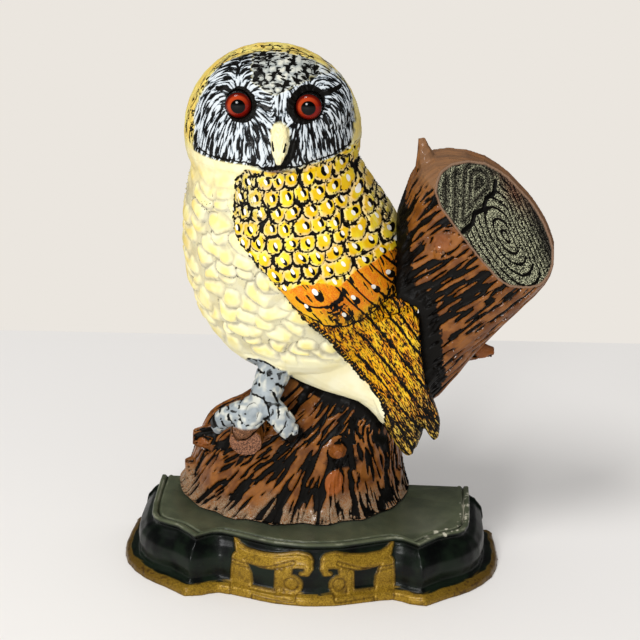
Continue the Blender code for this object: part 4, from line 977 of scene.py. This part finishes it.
def plinthFields(spots, normals):
    x, y, z = spots.T
    fine, medium = noise(spots, 1.2, 8), noise(spots, 4, 9)
    mirror = plinth["mirror"]
    mx = np.where(x > mirror, mirror - (x - mirror) * plinth["squeeze"], x)
    shape = np.maximum.reduce([strokeDistance(mx, z, *stroke) for stroke in plinth["scroll"]])
    wx, wz, wide, tall = plinth["window"]
    hole = 1 - (abs((mx - wx) / wide) ** 4 + abs((z - wz) / tall) ** 4) ** 0.25
    shape = np.minimum(shape, -hole * 3.4)
    scroll = fade(-0.3, 0.3, shape) * (y < -45) * (z < 25.4)
    lip = nearest(spots * (1, 1, 0), (z < 2.6) & (z > 1.4) & (abs(normals[:, 2]) < 0.8), z < 7.5, 99.0)
    rim = fade(plinth["lip"] + 0.5, plinth["lip"] - 0.2, lip + 1.2 * (medium - 0.5))
    rim = rim * fade(plinth["rimTop"] + 1.2, plinth["rimTop"] + 0.4, z)
    rim = highest(rim, scroll * (z < 7))
    panel = fade(5.2, 6.4, z) * fade(25.6, 24.6, z) * (y < -2)
    volute = np.hypot(mx - plinth["volute"][0], z - plinth["volute"][1])
    rope = lineDistance(mx, z, plinth["rope"])
    beads = 0.5 + 0.5 * np.cos(mx * 2 * math.pi / 2.1)
    carve = 0.45 * hill(shape - 0.9, 0.4) + 0.55 * hill(volute - 3.3, 0.45) * (z < 13)
    carve = carve + hill(rope - 0.9, 0.35) * 0.35 + hill(rope, 0.8) * 0.3 * beads
    sink = 0.08 + panel * (1 - scroll) * plinth["sink"] + scroll * (carve + 0.15 * medium)
    sink = sink + rim * 0.25 * medium
    gold = highest(scroll, rim)
    brown = hill(shape, 0.5) * scroll + fade(42, 85, abs(x)) * 0.75 + 0.4 * fade(0.6, 0.8, fine)
    brown = brown + scroll * 0.8 * hill(rope - 0.9, 0.3) + scroll * 0.7 * hill(volute - 3.3, 0.4) * (z < 13)
    worn = fade(0.7, 0.78, noise(spots, 1.3, 10)) * fade(50, 62, x) * fade(88, 78, x) * (z > 26) * (y < 0)
    bead = fade(0.5, 0.9, (z - 26.2) / 1.8) * fade(0.45, 0.7, medium) * (abs(normals[:, 2]) < 0.93)
    fields = dict(gold=gold, brown=gold * unit(brown), deck=fade(26.5, 27.4, z),
                  worn=unit(worn * 0.9 + bead * 0.3), bare=np.zeros(len(x)))
    return sink, fields


def buildPlinth(material):
    skin = outerSolid("base_plinth", [(2, 0.0)], [(*boltHole, plinth["boltHead"]), *screwHoles])
    item = refined(objectFrom(skin, "plinthSkin"), plinth["voxel"])
    softened(item, plinth["softRounds"], lambda x, y, z: (z < 25.4) & (z > 0.9) & (y < -1.5))
    spots, normals = readSkin(item)
    sink, fields = plinthFields(spots, normals)
    keep = (spots[:, 2] > 0.6) & (spots[:, 1] < -0.5) & ((normals[:, 2] < 0.8) | (spots[:, 2] < 26.5))
    spots = spots - normals * (sink * keep)[:, None]
    spots[:, 2] = np.where(spots[:, 2] < 0.45, -1.0, spots[:, 2])  # below the casting's foot
    writeSkin(item, spots, fields)
    return piecesOf(item, plinth["pieces"], material, "base_plinth")


def plinthMaterial():
    g = Graph("plinthPaint")
    fine = g.grain(0.6, 3.0, 0.6)
    broad = g.grain(9.0, 3.0)
    gilt = g.mix(g.field("brown"), g.mix(fine.fade(0.3, 0.7), "745814", "a48228"), "4c3512")
    tone = g.coats(
        g.mix(broad.fade(0.35, 0.65), "020403", "0e180e"),
        (g.field("deck") * 0.75, g.mix(broad, "3a4232", "6a6e54")),
        ("gold", gilt),
        ("worn", "b8b4a0"),
        g.bareIron(fine))
    height = fine * 0.5 + broad * 0.6
    return g.surface(tone, 0.3 + fine * 0.16, height, 0.25, Metallic=g.field("gold") * 0.35,
            Specular_IOR_Level=0.12, Coat_Weight=0.14, Coat_Roughness=0.2)


# Steel fixings

def steelMaterial():
    g = Graph("plainSteel")
    fine = g.grain(0.8, 3.0)
    return g.surface(g.mix(fine, "6e6c68", "8c8a86"), 0.35 + fine * 0.2, fine, 0.05, Metallic=0.9)


# Stage, light and camera

stage = {
    "wallAt": 0.29, "turn": 2.2, "wide": 4.0, "deep": 3.0, "floor": "ebe8e4", "wall": "ebe6df",
    "light": "f7f7f8", "world": 0.62, "mirrored": 0.08,
    "lamps": {"keyLamp": ((-0.95, -1.25, 2.5), (0, 0, 0.1), 0.9, 42.0),
              "frontLamp": ((-0.26, -1.1, 0.34), (0, 0, 0.14), 0.18, 5.0)},
}


def buildFloor():
    turn = Matrix.Rotation(math.radians(stage["turn"]), 3, "Z")
    middle = Vector((0, stage["wallAt"], -0.0002)) - turn @ Vector((0, stage["deep"] / 2, 0))
    bm = bmesh.new()
    bmesh.ops.create_grid(bm, x_segments=1, y_segments=1, size=0.5)
    bmesh.ops.transform(bm, matrix=Matrix.LocRotScale(middle, turn, (stage["wide"], stage["deep"], 1)),
            verts=bm.verts)
    floor = objectFrom(bm, "tableTop")
    g = Graph("tableTop")
    floor.data.materials.append(g.surface(colour(stage["floor"]), 0.6, Specular_IOR_Level=0.2))


def buildWorld():
    # Soft light all round, little of it mirrored, and the wall's colour behind the table
    g = Graph("softRoom", bpy.data.worlds)
    lit = g.node("Background", {"Color": colour(stage["light"]), "Strength": stage["world"]})
    for ray, code, strength in (("Is Glossy Ray", stage["light"], stage["mirrored"]),
            ("Is Camera Ray", stage["wall"], 1.0)):
        seen = g.node("Background", {"Color": colour(code), "Strength": strength})
        lit = g.node("MixShader", {0: g.node("LightPath", output=ray), 1: lit, 2: seen})
    bpy.context.scene.world = g.show(lit, "World")


def buildLamps():
    for name, (place, target, size, power) in stage["lamps"].items():
        lamp = bpy.data.lights.new(name, "AREA")
        lamp.size = size
        lamp.energy = power
        item = linked(bpy.data.objects.new(name, lamp))
        item.location = place
        item.rotation_mode = "QUATERNION"
        item.rotation_quaternion = (Vector(target) - Vector(place)).to_track_quat("-Z", "Y")


camera = {"distance": 1.0, "elevation": 22.0, "azimuth": 3.0, "roll": 0.9, "lens": 118.125,
          "target": (-0.00862, 0.038, 0.1125)}


def buildCamera():
    lens = bpy.data.cameras.new("mainCamera")
    lens.lens = camera["lens"]
    item = linked(bpy.data.objects.new("mainCamera", lens))
    place = Matrix.Translation(camera["target"])
    for axis, angle in (("Z", camera["azimuth"]), ("X", 90 - camera["elevation"]), ("Z", camera["roll"])):
        place = place @ Matrix.Rotation(math.radians(angle), 4, axis)
    item.matrix_world = place @ Matrix.Translation((0, 0, camera["distance"]))
    bpy.context.scene.camera = item


bpy.context.scene.view_settings.view_transform = "Standard"
for piece in buildOwl(owlMaterial()):
    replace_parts(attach(piece, "root"), "owl_shell")
    print("owl", piece.name, len(piece.data.polygons))
for piece in buildTrunk(trunkMaterial()):
    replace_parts(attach(piece, "root"), "stump_trunk")
    print("trunk", piece.name, len(piece.data.polygons))
for piece in buildPlinth(plinthMaterial()):
    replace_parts(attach(piece, "root"), "base_plinth")
    print("plinth", piece.name, len(piece.data.polygons))
glass = eyeMaterial()
for name, nodeName in (("leftEye", "left_eye_glass"), ("rightEye", "right_eye_glass")):
    piece = buildEye(name, nodeName, glass)
    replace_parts(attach(piece, "root"), nodeName)
steel = steelMaterial()
for nodeName in ("eye_strap", "eye_strap_screw", "tie_bolt", "tie_washer", "left_stump_screw",
                 "right_stump_screw"):
    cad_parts[nodeName].data.materials.clear()
    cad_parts[nodeName].data.materials.append(steel)
print("eyes and fixings done")
buildFloor()
buildWorld()
buildLamps()
buildCamera()
print("stage, light and camera done")
